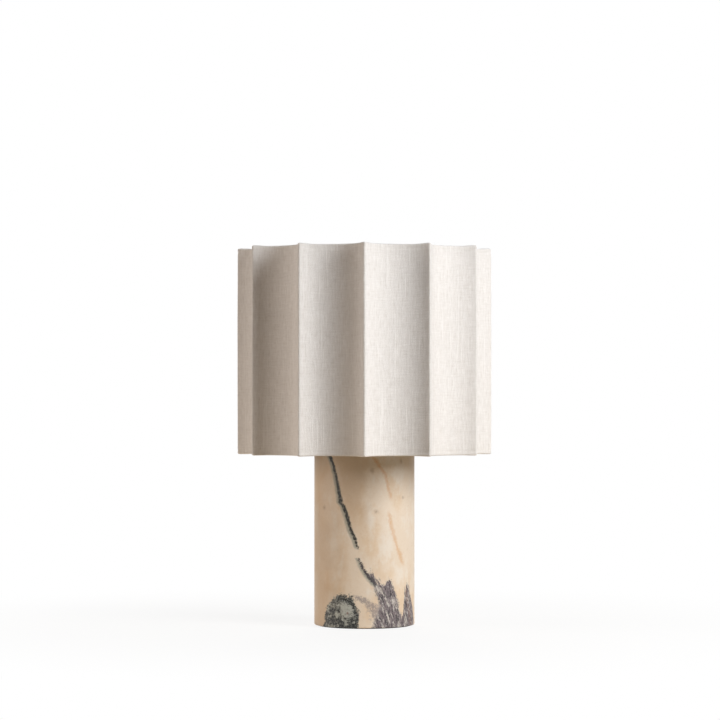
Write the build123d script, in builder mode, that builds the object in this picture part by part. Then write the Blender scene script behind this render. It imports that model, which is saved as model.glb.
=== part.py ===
"""Column table lamp: a stone cylinder carrying a lampholder, a wire harp and a fluted linen drum shade.

Millimetres, +Z up. The origin is the centre of the felt underside, and the front of the lamp faces -Y.
"""
from build123d import *
import os
from math import cos, radians, sin, sqrt

# ---------------------------------------------------------------- stone column
column_diameter = 120.0
column_height = 214.0
column_arris = 1.0            # eased edge at the top and the foot
rod_passage = 11.0            # drilled through the stone
well_diameter = 72.0          # wiring well cut up into the foot
well_depth = 30.0
felt_margin = 4.5             # from the edge of the felt to the side of the stone
felt_thickness = 2.5
felt_recess = 1.5             # how far the felt is let into the stone
cover_ledge = 4.5             # of the stone under the edge of the well's cover
cover_thickness = 2.0
inlay_clearance = 0.25        # round each disc let into the stone

# ---------------------------------------------------------------- cord gland
cord_height = 18.0            # above the foot of the stone
gland_bore = 7.2
gland_wall = 2.4
gland_barrel_length = 17.0
gland_flange_margin = 2.5
gland_flange_thickness = 2.5
gland_fit = 0.1
gland_mouth_edge = 0.8
spot_face_depth = 1.2

# ---------------------------------------------------------------- clamping rod and its fastenings
rod_diameter = 9.7
rod_wall = 1.15
rod_tail = 3.0                # below the foot nut
thread_fit = 0.05
nut_across_flats = 14.0
foot_nut_thickness = 5.0
top_nut_thickness = 4.0
nut_chamfer = 0.6
washer_clearance = 0.8        # between a washer and the rod
clamp_washer_diameter = 30.0
clamp_washer_thickness = 2.0
lock_washer_diameter = 17.0
lock_washer_thickness = 0.8
lock_washer_notches = 8
lock_washer_notch = 1.6

# ---------------------------------------------------------------- brass cap and neck on the stone
cap_diameter = 46.0
cap_thickness = 4.0
cap_edge = 1.4
neck_wall = 4.1               # round the nut's bay
neck_waist_wall = 4.1         # round the rod
neck_height = 14.0
neck_lip = 2.5                # straight band over the cove
nut_room = 0.8                # round and over the top nut, inside the neck

# ---------------------------------------------------------------- harp, its saddle and ferrules
saddle_thickness = 1.8
saddle_width = 12.0
saddle_pad_margin = 1.0       # beyond the neck that the saddle sits on
saddle_arm_height = 5.0
saddle_bend = 4.0
leg_spacing = 62.0
harp_wire = 3.2
lap_start = 10.0              # above the saddle's seat
lap_length = 7.0
lap_gap = 0.1
harp_height = 185.0           # from the saddle's seat to the top of the eye
leg_straight = 38.0           # straight part of each leg, above the saddle's seat
leg_lean = 35.0               # degrees that the leg turns outward
leg_lean_radius = 50.0
eye_diameter = 15.0
eye_thickness = 3.6
ferrule_wall = 1.2
ferrule_fit = 0.1
ferrule_length = 17.5
ferrule_rim = 0.8
ferrule_rim_height = 1.8
ferrule_gap = 0.1             # between a ferrule and the saddle's arm

# ---------------------------------------------------------------- swivel and finial
pivot_diameter = 5.0
pivot_fit = 0.05
rivet_head_diameter = 9.0
rivet_head_rise = 1.4
swivel_gap = 0.2              # above and below the eye
swivel_flange_diameter = 16.0
swivel_flange_thickness = 1.6
stud_diameter = 6.3
stud_reach = 12.0             # above the spider's hub
stud_chamfer = 0.6
finial_fit = 0.1
finial_bore_spare = 2.0       # above the end of the stud
finial_crown = 3.0            # solid metal above the bore
finial_foot_diameter = 14.0
finial_foot_height = 2.0
finial_waist_wall = 1.8
finial_waist_height = 2.5
finial_knob_diameter = 16.0
finial_knob_edge = 1.5
finial_grooves = 16
finial_groove = 1.2

# ---------------------------------------------------------------- fluted shade
flute_count = 12
ridge_diameter = 306.0        # over the sharp corners that the folded ridges round off
liner_gap = 0.4               # between two liner panels, at each ridge
flute_depth = 17.5
shade_height = 245.0
linen = 0.8
liner = 0.6
glue_line = 0.05
ring_wire = 3.4               # square wire
ring_fit = 0.1
hem_crease = 2.4              # inside radius of the hem behind each ridge
hem_return = 9.0              # how far the linen turns in and back inside the rim
spider_drop = 26.4            # from the rim to the top of the hub
arm_count = 3
arm_wire = 3.2
arm_straight = 9.0            # upright end of each arm, under the ring
hub_diameter = 22.0
hub_thickness = 2.0
hub_clearance = 0.25
weld_bite = 1.0               # how far a welded wire runs into its neighbour

# ---------------------------------------------------------------- lampholder
screw_cap_diameter = 26.0     # of the bulb, and so of the holder
screw_play = 0.45
screw_shell_wall = 0.5
screw_shell_height = 23.0
screw_shell_floor_bore = 12.0
sleeve_gap = 0.65             # between the screw shell and the insulating sleeve
sleeve_wall = 1.0
shell_gap = 0.3               # between the sleeve and the brass shell
shell_wall = 0.7
shell_lip = 1.8               # turned in over the insulating sleeve
shell_bead = 0.7
shell_bead_drop = 7.0         # below the mouth of the shell
holder_neck_wall = 3.6
holder_neck_height = 7.0
holder_cap_wall = 0.8
holder_cap_rim = 4.0
holder_cap_fit = 0.05
block_gap = 0.2               # round the moulded block inside the sleeve
block_foot = 3.0              # below the shell's lower edge
block_height = 19.0
contact_reach = 5.4
contact_width = 5.0
contact_thickness = 0.6
contact_rise = 3.4
set_screw_diameter = 3.0
set_screw_length = 6.0
set_screw_slot = 0.6
terminal_head_diameter = 6.0
terminal_head_thickness = 1.8
terminal_shank_diameter = 3.2
terminal_shank_length = 4.0
terminal_height = 7.0         # above the foot of the block
terminal_clearance = 0.6

# ---------------------------------------------------------------- rotary switch
shaft_diameter = 4.0
shaft_fit = 0.05
shaft_height = 13.0           # above the foot of the block
shaft_inner_reach = 8.0       # from the lamp's axis
shaft_stand_off = 7.0         # from the shell to the knob
shaft_grip = 10.0             # inside the knob
shaft_slot_clearance = 1.5
knob_diameter = 13.0
knob_length = 13.0
knob_flutes = 12
knob_flute = 2.2

# ---------------------------------------------------------------- bulb
bulb_length = 110.0
bulb_seat_gap = 0.2
globe_diameter = 60.0
globe_wall = 1.2
globe_mouth_angle = 40.0      # degrees from the axis to the globe's mouth, seen from its centre
collar_lean = 14.0            # degrees that the collar flares where it leaves the screw cap
screw_cap_height = 24.0
screw_cap_wall = 0.5
screw_cap_start = 4.0         # above the tip of the contact
insulator_margin = 1.0        # round the contact
insulator_rise = 1.0          # up into the screw cap
pip_diameter = 9.0
pip_height = 1.4
pip_edge = 0.9

# ---------------------------------------------------------------- levels, from the felt up
column_foot = felt_thickness - felt_recess
column_top = column_foot + column_height
cover_seat = column_foot + felt_recess
well_ceiling = column_foot + well_depth
gland_axis = column_foot + cord_height
cap_top = column_top + cap_thickness
neck_top = cap_top + neck_height
saddle_seat = neck_top + saddle_thickness
harp_top = saddle_seat + harp_height
swivel_seat = harp_top + swivel_gap
hub_seat = swivel_seat + swivel_flange_thickness
hub_top = hub_seat + hub_thickness
shade_top = hub_top + spider_drop
shade_bottom = shade_top - shade_height
rod_bore = rod_diameter / 2 + thread_fit   # radius of every hole that fits the rod

# ---------------------------------------------------------------- flute geometry
front = -90.0                              # a ridge faces the front
pitch = 360.0 / flute_count
half_pitch = pitch / 2
ridge_radius = ridge_diameter / 2
half_chord = ridge_radius * sin(radians(half_pitch))
flute_radius = (half_chord**2 + flute_depth**2) / (2 * flute_depth)
flute_centre = ridge_radius * cos(radians(half_pitch)) - flute_depth + flute_radius
liner_inset = linen + glue_line
ring_inset = liner_inset + liner + ring_fit
ring_back = ring_inset + ring_wire
hem_inset = ring_back + ring_fit
rim_inset = hem_inset + linen


def polar(reach, angle):
    """Point at a distance from the lamp's axis, at an angle in degrees."""
    return Vector(reach * cos(radians(angle)), reach * sin(radians(angle)))


def ridge_reach(inset):
    """Distance from the axis to the ridges of the outline that lies inset inside the linen's face."""
    across = flute_centre * sin(radians(half_pitch))
    return flute_centre * cos(radians(half_pitch)) - sqrt((flute_radius + inset) ** 2 - across**2)


def flute_reach(inset):
    """Distance from the axis to the bottoms of the flutes, on the same outline."""
    return flute_centre - flute_radius - inset


def fluted_face(inset, crease):
    """Area inside a fluted outline: one arc for each flute, with the ridges rounded to a radius."""
    with BuildSketch() as outline:
        with BuildLine():
            for flute in range(flute_count):
                angle = front + pitch * flute
                ThreePointArc(
                    polar(ridge_reach(inset), angle),
                    polar(flute_reach(inset), angle + half_pitch),
                    polar(ridge_reach(inset), angle + pitch),
                )
        make_face()
        if crease > 0:
            fillet(outline.vertices(), crease)
    return outline.sketch


def fluted_wall(outer_inset, inner_inset, outer_crease=0.0, inner_crease=0.0):
    """Section of a wall that follows the flutes between two insets of the outline."""
    with BuildSketch() as wall:
        add(fluted_face(outer_inset, outer_crease))
        add(fluted_face(inner_inset, inner_crease), mode=Mode.SUBTRACT)
    return wall.sketch


def annulus(outer_radius, inner_radius):
    """Flat ring on the lamp's axis."""
    with BuildSketch() as ring:
        Circle(outer_radius)
        Circle(inner_radius, mode=Mode.SUBTRACT)
    return ring.sketch


# ================================================================ stone column and its underside
felt_radius = column_diameter / 2 - felt_margin
cover_radius = well_diameter / 2 + cover_ledge
gland_radius = gland_bore / 2 + gland_wall
gland_flange_radius = gland_radius + gland_flange_margin
gland_seat = column_diameter / 2 - spot_face_depth

with BuildPart() as marble_column:
    with BuildSketch(Plane.XY.offset(column_foot)):
        Circle(column_diameter / 2)
    extrude(amount=column_height)
    chamfer(marble_column.edges().filter_by(GeomType.CIRCLE), column_arris)
    with BuildSketch(Plane.XY.offset(column_foot)):
        Circle(felt_radius + inlay_clearance)
    extrude(amount=felt_recess, mode=Mode.SUBTRACT)
    with BuildSketch(Plane.XY.offset(cover_seat)):
        Circle(cover_radius + inlay_clearance)
    extrude(amount=cover_thickness, mode=Mode.SUBTRACT)
    with BuildSketch(Plane.XY.offset(column_foot)):
        Circle(well_diameter / 2)
    extrude(amount=well_depth, mode=Mode.SUBTRACT)
    with BuildSketch(Plane.XY.offset(column_foot)):
        Circle(rod_passage / 2)
    extrude(amount=column_height, mode=Mode.SUBTRACT)
    with BuildSketch(Plane.XZ.offset(-column_diameter / 2)):
        with Locations((0, gland_axis)):
            Circle(gland_flange_radius + inlay_clearance)
    extrude(amount=spot_face_depth, mode=Mode.SUBTRACT)
    with BuildSketch(Plane.XZ.offset(-column_diameter / 2)):
        with Locations((0, gland_axis)):
            Circle(gland_radius + gland_fit)
    extrude(amount=column_diameter / 2, mode=Mode.SUBTRACT)

with BuildPart() as felt_pad:
    with BuildSketch():
        Circle(felt_radius)
    extrude(amount=felt_thickness)

with BuildPart() as base_cover:
    with BuildSketch(Plane.XY.offset(cover_seat)):
        Circle(cover_radius)
    extrude(amount=cover_thickness)

with BuildPart() as cord_gland:
    with BuildSketch(Plane.XZ.offset(-gland_seat)):
        with Locations((0, gland_axis)):
            Circle(gland_flange_radius)
    extrude(amount=-gland_flange_thickness)
    chamfer(cord_gland.edges().group_by(Axis.Y)[-1], gland_mouth_edge)
    with BuildSketch(Plane.XZ.offset(-gland_seat)):
        with Locations((0, gland_axis)):
            Circle(gland_radius)
    extrude(amount=gland_barrel_length)
    with BuildSketch(Plane.XZ.offset(-gland_seat - gland_flange_thickness)):
        with Locations((0, gland_axis)):
            Circle(gland_bore / 2)
    extrude(amount=gland_flange_thickness + gland_barrel_length, mode=Mode.SUBTRACT)

# ================================================================ rod, nuts and washers
clamp_washer_bottom = well_ceiling - clamp_washer_thickness
lock_washer_bottom = clamp_washer_bottom - lock_washer_thickness
foot_nut_bottom = lock_washer_bottom - foot_nut_thickness
rod_bottom = foot_nut_bottom - rod_tail
rod_top = saddle_seat + holder_neck_height
washer_bore = rod_diameter / 2 + washer_clearance
nut_corner = nut_across_flats / 2 / cos(radians(30))

with BuildPart() as threaded_rod:
    with BuildSketch(Plane.XY.offset(rod_bottom)):
        add(annulus(rod_diameter / 2, rod_diameter / 2 - rod_wall))
    extrude(amount=rod_top - rod_bottom)

with BuildPart() as clamp_washer:
    with BuildSketch(Plane.XY.offset(clamp_washer_bottom)):
        add(annulus(clamp_washer_diameter / 2, washer_bore))
    extrude(amount=clamp_washer_thickness)

with BuildPart() as lock_washer:
    with BuildSketch(Plane.XY.offset(lock_washer_bottom)):
        add(annulus(lock_washer_diameter / 2, washer_bore))
        with PolarLocations(lock_washer_diameter / 2, lock_washer_notches):
            Rectangle(lock_washer_notch, lock_washer_notch, mode=Mode.SUBTRACT)
    extrude(amount=lock_washer_thickness)


def hex_nut(thickness, bottom):
    """Hexagon nut on the rod, with the corners of its upper face rounded off by a cone."""
    with BuildPart() as nut:
        with BuildSketch(Plane.XY.offset(bottom)):
            RegularPolygon(nut_corner, 6)
            Circle(rod_bore, mode=Mode.SUBTRACT)
        extrude(amount=thickness)
        with BuildSketch(Plane.XZ):
            with BuildLine():
                Polyline(
                    (nut_corner - nut_chamfer, bottom + thickness),
                    (nut_corner + nut_chamfer, bottom + thickness),
                    (nut_corner + nut_chamfer, bottom + thickness - 2 * nut_chamfer),
                    close=True,
                )
            make_face()
        revolve(axis=Axis.Z, mode=Mode.SUBTRACT)
    return nut


foot_nut = hex_nut(foot_nut_thickness, foot_nut_bottom)
top_nut = hex_nut(top_nut_thickness, cap_top)

# ================================================================ brass cap and neck
with BuildPart() as column_cap:
    with BuildSketch(Plane.XY.offset(column_top)):
        Circle(cap_diameter / 2)
    extrude(amount=cap_thickness)
    chamfer(column_cap.edges().group_by(Axis.Z)[-1], cap_edge)
    with BuildSketch(Plane.XY.offset(column_top)):
        Circle(rod_bore)
    extrude(amount=cap_thickness, mode=Mode.SUBTRACT)

nut_bay = nut_corner + nut_room
nut_bay_top = cap_top + top_nut_thickness + nut_room
neck_foot = nut_bay + neck_wall
neck_waist = rod_bore + neck_waist_wall

with BuildPart() as brass_neck:
    with BuildSketch(Plane.XZ):
        with BuildLine():
            waist = Line((neck_waist, neck_top), (neck_waist, neck_top - neck_lip))
            cove = JernArc(waist @ 1, (0, -1), neck_foot - neck_waist, 90)
            Polyline(
                cove @ 1,
                (neck_foot, cap_top),
                (nut_bay, cap_top),
                (nut_bay, nut_bay_top),
                (rod_bore, nut_bay_top),
                (rod_bore, neck_top),
                waist @ 0,
            )
        make_face()
    revolve(axis=Axis.Z)

# ================================================================ saddle, harp and ferrules
lap_bottom = saddle_seat + lap_start
lap_top = lap_bottom + lap_length
leg_reach = leg_spacing / 2
saddle_arm_top = saddle_seat + saddle_arm_height
strap_level = neck_top + saddle_thickness / 2


def lap_face(side):
    """Half of a leg's section: its outer half (1), or its inner half (-1)."""
    with BuildSketch() as half:
        with Locations((leg_reach, 0)):
            Circle(harp_wire / 2)
        with Locations((leg_reach + side * (lap_gap - harp_wire) / 2, 0)):
            Rectangle(harp_wire, harp_wire, mode=Mode.SUBTRACT)
    return half.sketch


with BuildPart() as harp_saddle:
    with BuildSketch(Plane.XZ):
        with BuildLine() as strap:
            FilletPolyline(
                (-leg_reach, saddle_arm_top),
                (-leg_reach, strap_level),
                (leg_reach, strap_level),
                (leg_reach, saddle_arm_top),
                radius=saddle_bend,
            )
        trace(strap.wires()[0], line_width=saddle_thickness)
    extrude(amount=saddle_width / 2, both=True)
    with BuildSketch(Plane.XY.offset(neck_top)):
        Circle(neck_waist + saddle_pad_margin)
    extrude(amount=saddle_thickness)
    with BuildSketch(Plane.XY.offset(neck_top)):
        Circle(rod_bore)
    extrude(amount=saddle_thickness, mode=Mode.SUBTRACT)
    with BuildSketch(Plane.XY.offset(saddle_arm_top)):
        with Locations((-leg_reach, 0), (leg_reach, 0)):
            Circle(harp_wire / 2)
    extrude(amount=lap_bottom - saddle_arm_top)
    with BuildSketch(Plane.XY.offset(lap_bottom)):
        add(lap_face(1))
        mirror(about=Plane.YZ)
    extrude(amount=lap_length)

# Each leg leans out, curves back in over the bulb and runs level into the eye.
lean_rise = sin(radians(leg_lean))
lean_run = cos(radians(leg_lean))
crown_level = harp_top - eye_thickness / 2
crown_start = eye_diameter / 2 - weld_bite
crown_radius = (leg_reach + leg_lean_radius * (1 - lean_run) - crown_start) / lean_run
belly_rise = crown_level - saddle_seat - leg_straight - leg_lean_radius * lean_rise
belly_radius = (belly_rise - crown_radius * (1 - lean_rise)) / (2 * lean_rise)

with BuildPart() as harp:
    with BuildLine(Plane.XZ) as leg:
        straight = Line((leg_reach, lap_top + lap_gap), (leg_reach, saddle_seat + leg_straight))
        lean = JernArc(straight @ 1, straight % 1, leg_lean_radius, -leg_lean)
        belly = JernArc(lean @ 1, lean % 1, belly_radius, 2 * leg_lean)
        crown = JernArc(belly @ 1, belly % 1, crown_radius, 90 - leg_lean)
    with BuildSketch(Plane.XY.offset(lap_top + lap_gap)):
        with Locations((leg_reach, 0)):
            Circle(harp_wire / 2)
    sweep(path=leg.wires()[0])
    with BuildSketch(Plane.XY.offset(lap_bottom + lap_gap)):
        add(lap_face(-1))
    extrude(amount=lap_length)
    mirror(about=Plane.YZ)
    with BuildSketch(Plane.XY.offset(harp_top - eye_thickness)):
        Circle(eye_diameter / 2)
    extrude(amount=eye_thickness)
    with BuildSketch(Plane.XY.offset(harp_top - eye_thickness)):
        Circle(pivot_diameter / 2 + pivot_fit)
    extrude(amount=eye_thickness, mode=Mode.SUBTRACT)


def ferrule(side):
    """Sleeve that locks a leg to the saddle, on the right (1) or the left (-1)."""
    bore = harp_wire / 2 + ferrule_fit
    with BuildPart() as sleeve:
        with BuildSketch(Plane.XY.offset(saddle_arm_top + ferrule_gap)):
            with Locations((side * leg_reach, 0)):
                Circle(bore + ferrule_wall)
                Circle(bore, mode=Mode.SUBTRACT)
        extrude(amount=ferrule_length)
        with BuildSketch(Plane.XY.offset(saddle_arm_top + ferrule_gap)):
            with Locations((side * leg_reach, 0)):
                Circle(bore + ferrule_wall + ferrule_rim)
                Circle(bore, mode=Mode.SUBTRACT)
        extrude(amount=ferrule_rim_height)
    return sleeve


ferrule_right = ferrule(1)
ferrule_left = ferrule(-1)

# ================================================================ swivel and finial
rivet_top = harp_top - eye_thickness - swivel_gap
stud_top = hub_top + stud_reach
pivot_radius = pivot_diameter / 2
stud_radius = stud_diameter / 2

with BuildPart() as harp_swivel:
    with BuildSketch(Plane.XZ):
        with BuildLine():
            rivet_edge = (rivet_head_diameter / 2, rivet_top)
            Polyline(
                rivet_edge,
                (pivot_radius, rivet_top),
                (pivot_radius, swivel_seat),
                (swivel_flange_diameter / 2, swivel_seat),
                (swivel_flange_diameter / 2, hub_seat),
                (stud_radius, hub_seat),
                (stud_radius, stud_top - stud_chamfer),
                (stud_radius - stud_chamfer, stud_top),
                (0, stud_top),
                (0, rivet_top - rivet_head_rise),
            )
            TangentArc((0, rivet_top - rivet_head_rise), rivet_edge, tangent=(1, 0))
        make_face()
    revolve(axis=Axis.Z)

finial_bore = stud_radius + finial_fit
finial_bore_top = stud_top + finial_bore_spare
finial_top = finial_bore_top + finial_crown
finial_knob = finial_knob_diameter / 2
finial_waist = finial_bore + finial_waist_wall
foot_top = hub_top + finial_foot_height
waist_top = foot_top + finial_waist_height

with BuildPart() as finial:
    with BuildSketch(Plane.XZ):
        with BuildLine():
            Polyline(
                (0, finial_bore_top),
                (finial_bore, finial_bore_top),
                (finial_bore, hub_top),
                (finial_foot_diameter / 2, hub_top),
                (finial_foot_diameter / 2, foot_top),
                (finial_waist, foot_top),
                (finial_waist, waist_top),
                (finial_knob - finial_knob_edge, waist_top),
                (finial_knob, waist_top + finial_knob_edge),
                (finial_knob, finial_top - finial_knob_edge),
                (finial_knob - finial_knob_edge, finial_top),
                (0, finial_top),
                close=True,
            )
        make_face()
    revolve(axis=Axis.Z)
    with BuildSketch(Plane.XY.offset(waist_top)):
        with PolarLocations(finial_knob, finial_grooves):
            Rectangle(finial_groove, finial_groove, rotation=45)
    extrude(amount=finial_top - waist_top, mode=Mode.SUBTRACT)

# ================================================================ fluted shade
# The linen is folded round the liner at each ridge, so the fold's outside radius is its own thickness.
with BuildPart() as shade_linen:
    with BuildSketch(Plane.XY.offset(shade_bottom)):
        add(fluted_wall(0, linen, outer_crease=linen))
    extrude(amount=shade_height)
    for hem_bottom, rim_bottom in (
        (shade_bottom, shade_bottom),
        (shade_top - hem_return, shade_top - linen),
    ):
        with BuildSketch(Plane.XY.offset(rim_bottom)):
            add(fluted_wall(0, rim_inset, linen, hem_crease))
        extrude(amount=linen)
        with BuildSketch(Plane.XY.offset(hem_bottom)):
            add(fluted_wall(hem_inset, rim_inset, hem_crease + linen, hem_crease))
        extrude(amount=hem_return)

# The liner is one curved panel for each flute; the panels stop short of each other at the ridges.
rim_gap = linen + glue_line
with BuildPart() as shade_liner:
    with BuildSketch(Plane.XY.offset(shade_bottom + rim_gap)):
        add(fluted_wall(liner_inset, liner_inset + liner))
        with PolarLocations(ridge_radius, flute_count, start_angle=front):
            Rectangle(flute_depth, liner_gap, mode=Mode.SUBTRACT)
    extrude(amount=shade_height - 2 * rim_gap)

rim_to_ring = linen + ring_fit
ring_back_crease = hem_crease + linen + ring_fit


def fluted_ring(bottom):
    """Square wire bent to the fluted outline, lying in the hem."""
    with BuildPart() as ring:
        with BuildSketch(Plane.XY.offset(bottom)):
            add(fluted_wall(ring_inset, ring_back, ring_back_crease + ring_wire, ring_back_crease))
        extrude(amount=ring_wire)
    return ring


bottom_ring = fluted_ring(shade_bottom + rim_to_ring)
top_ring = fluted_ring(shade_top - rim_to_ring - ring_wire)

arm_level = hub_seat + hub_thickness / 2
arm_top = shade_top - rim_to_ring - ring_wire + weld_bite
arm_start = hub_diameter / 2 - weld_bite
arm_reach = flute_reach((ring_inset + ring_back) / 2)

with BuildPart() as spider_arms:
    with BuildLine(Plane.XZ) as route:
        FilletPolyline(
            (arm_start, arm_level),
            (arm_reach, arm_level),
            (arm_reach, arm_top),
            radius=arm_top - arm_level - arm_straight,
        )
    with BuildSketch(Plane.YZ.offset(arm_start)):
        with Locations((0, arm_level)):
            Circle(arm_wire / 2)
    arm = sweep(path=route.wires()[0], mode=Mode.PRIVATE)
    with PolarLocations(0, arm_count, start_angle=half_pitch):
        add(arm)

with BuildPart() as spider_hub:
    with BuildSketch(Plane.XY.offset(hub_seat)):
        add(annulus(hub_diameter / 2, stud_radius + hub_clearance))
    extrude(amount=hub_thickness)

# ================================================================ lampholder, from the bulb's cap outward
screw_shell_bore = screw_cap_diameter / 2 + screw_play
screw_shell_radius = screw_shell_bore + screw_shell_wall
sleeve_bore = screw_shell_radius + sleeve_gap
sleeve_radius = sleeve_bore + sleeve_wall
shell_bore = sleeve_radius + shell_gap
shell_radius = shell_bore + shell_wall
block_radius = sleeve_bore - block_gap

holder_neck = rod_bore + holder_neck_wall
holder_shoulder = saddle_seat + holder_neck_height
holder_cap_bore = shell_radius + holder_cap_fit
holder_dome = holder_cap_bore + holder_cap_wall - holder_neck
shell_bottom = holder_shoulder + holder_dome
block_bottom = shell_bottom - block_foot
block_top = block_bottom + block_height
sleeve_top = block_top + screw_shell_height
shell_top = sleeve_top + shell_gap + shell_wall
shaft_axis = block_bottom + shaft_height
set_screw_axis = saddle_seat + holder_neck_height / 2

with BuildPart() as holder_cap:
    with BuildSketch(Plane.XZ):
        with BuildLine():
            outside = JernArc((holder_neck, holder_shoulder), (1, 0), holder_dome, 90)
            inside = JernArc(
                (holder_neck, holder_shoulder + holder_cap_wall),
                (1, 0),
                holder_dome - holder_cap_wall,
                90,
            )
            Polyline(
                outside @ 1,
                (holder_cap_bore + holder_cap_wall, shell_bottom + holder_cap_rim),
                (holder_cap_bore, shell_bottom + holder_cap_rim),
                inside @ 1,
            )
            Polyline(
                inside @ 0,
                (rod_bore, holder_shoulder + holder_cap_wall),
                (rod_bore, saddle_seat),
                (holder_neck, saddle_seat),
                outside @ 0,
            )
        make_face()
    revolve(axis=Axis.Z)
    with BuildSketch(Plane.XZ):
        with Locations((0, set_screw_axis)):
            Circle(set_screw_diameter / 2 + thread_fit)
    extrude(amount=-holder_neck, mode=Mode.SUBTRACT)

with BuildPart() as set_screw:
    with BuildSketch(Plane.XZ.offset(-rod_bore)):
        with Locations((0, set_screw_axis)):
            Circle(set_screw_diameter / 2)
    extrude(amount=-set_screw_length)
    with BuildSketch(Plane.XZ.offset(-rod_bore - set_screw_length)):
        with Locations((0, set_screw_axis)):
            Rectangle(set_screw_diameter, set_screw_slot)
    extrude(amount=set_screw_slot, mode=Mode.SUBTRACT)

with BuildPart() as holder_shell:
    with BuildSketch(Plane.XZ):
        with BuildLine():
            bead = shell_top - shell_bead_drop
            lip = shell_bore - shell_lip
            Polyline(
                (shell_radius, bead - shell_bead),
                (shell_radius, shell_bottom),
                (shell_bore, shell_bottom),
                (shell_bore, shell_top - shell_wall),
                (lip, shell_top - shell_wall),
                (lip, shell_top),
                (shell_radius, shell_top),
                (shell_radius, bead + shell_bead),
            )
            ThreePointArc(
                (shell_radius, bead + shell_bead),
                (shell_radius + shell_bead, bead),
                (shell_radius, bead - shell_bead),
            )
        make_face()
    revolve(axis=Axis.Z)
    slot_radius = shaft_diameter / 2 + shaft_slot_clearance
    with BuildSketch(Plane.XZ):
        with Locations((0, shaft_axis)):
            Circle(slot_radius)
        with Locations((0, (shaft_axis + shell_bottom) / 2)):
            Rectangle(2 * slot_radius, shaft_axis - shell_bottom)
    extrude(amount=2 * shell_radius, mode=Mode.SUBTRACT)

with BuildPart() as insulating_sleeve:
    with BuildSketch(Plane.XY.offset(shell_bottom)):
        add(annulus(sleeve_radius, sleeve_bore))
    extrude(amount=sleeve_top - shell_bottom)
    with BuildSketch(Plane.XZ):
        with Locations((0, shaft_axis)):
            Circle(slot_radius)
    extrude(amount=2 * shell_radius, mode=Mode.SUBTRACT)

terminal_seat = block_radius - terminal_head_thickness - terminal_clearance
terminal_axis = block_bottom + terminal_height

with BuildPart() as holder_block:
    with BuildSketch(Plane.XY.offset(block_bottom)):
        Circle(block_radius)
    extrude(amount=block_height)
    with BuildSketch(Plane.XZ.offset(shaft_inner_reach)):
        with Locations((0, shaft_axis)):
            Circle(shaft_diameter / 2 + shaft_fit)
    extrude(amount=block_radius, mode=Mode.SUBTRACT)
    with BuildSketch(Plane.YZ.offset(terminal_seat)):
        with Locations((0, terminal_axis)):
            Circle(terminal_head_diameter / 2 + terminal_clearance)
    pocket = extrude(amount=block_radius, mode=Mode.SUBTRACT)
    with BuildSketch(Plane.YZ.offset(terminal_seat)):
        with Locations((0, terminal_axis)):
            Circle(terminal_shank_diameter / 2 + thread_fit)
    tapping = extrude(amount=-terminal_shank_length, mode=Mode.SUBTRACT)
    mirror([pocket, tapping], about=Plane.YZ, mode=Mode.SUBTRACT)

with BuildPart() as terminal_screws:
    with BuildSketch(Plane.YZ.offset(terminal_seat)):
        with Locations((0, terminal_axis)):
            Circle(terminal_head_diameter / 2)
    extrude(amount=terminal_head_thickness)
    with BuildSketch(Plane.YZ.offset(terminal_seat)):
        with Locations((0, terminal_axis)):
            Circle(terminal_shank_diameter / 2)
    extrude(amount=-terminal_shank_length)
    mirror(about=Plane.YZ)

with BuildPart() as screw_shell:
    with BuildSketch(Plane.XY.offset(block_top)):
        add(annulus(screw_shell_radius, screw_shell_bore))
    extrude(amount=screw_shell_height)
    with BuildSketch(Plane.XY.offset(block_top)):
        add(annulus(screw_shell_radius, screw_shell_floor_bore / 2))
    extrude(amount=screw_shell_wall)

contact_level = block_top + contact_rise
with BuildPart() as centre_contact:
    with BuildSketch(Plane.XZ):
        with BuildLine() as leaf:
            Polyline(
                (-contact_reach, block_top + contact_thickness / 2),
                (-contact_thickness, block_top + contact_thickness / 2),
                (contact_thickness, contact_level),
                (contact_reach, contact_level),
            )
        trace(leaf.wires()[0], line_width=contact_thickness)
    extrude(amount=contact_width / 2, both=True)

# ================================================================ rotary switch
knob_inner = shell_radius + shaft_stand_off
with BuildPart() as switch_shaft:
    with BuildSketch(Plane.XZ.offset(shaft_inner_reach)):
        with Locations((0, shaft_axis)):
            Circle(shaft_diameter / 2)
    extrude(amount=knob_inner + shaft_grip - shaft_inner_reach)

with BuildPart() as switch_knob:
    with BuildSketch(Plane.XZ.offset(knob_inner)):
        with Locations((0, shaft_axis)):
            Circle(knob_diameter / 2)
            with PolarLocations(knob_diameter / 2, knob_flutes):
                Circle(knob_flute / 2, mode=Mode.SUBTRACT)
    extrude(amount=knob_length)
    with BuildSketch(Plane.XZ.offset(knob_inner)):
        with Locations((0, shaft_axis)):
            Circle(shaft_diameter / 2 + shaft_fit)
    extrude(amount=shaft_grip, mode=Mode.SUBTRACT)

# ================================================================ bulb
bulb_foot = contact_level + contact_thickness / 2 + bulb_seat_gap
cap_bottom = bulb_foot + screw_cap_start
cap_mouth = cap_bottom + screw_cap_height
cap_radius = screw_cap_diameter / 2
cap_bore = cap_radius - screw_cap_wall
globe_radius = globe_diameter / 2
globe_centre = bulb_foot + bulb_length - globe_radius
globe_mouth = globe_centre - globe_radius * cos(radians(globe_mouth_angle))
globe_mouth_radius = globe_radius * sin(radians(globe_mouth_angle))
pip_top = bulb_foot + pip_height

with BuildPart() as bulb_contact:
    with BuildSketch(Plane.XY.offset(bulb_foot)):
        Circle(pip_diameter / 2)
    extrude(amount=pip_height)
    chamfer(bulb_contact.edges().group_by(Axis.Z)[0], pip_edge)

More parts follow.
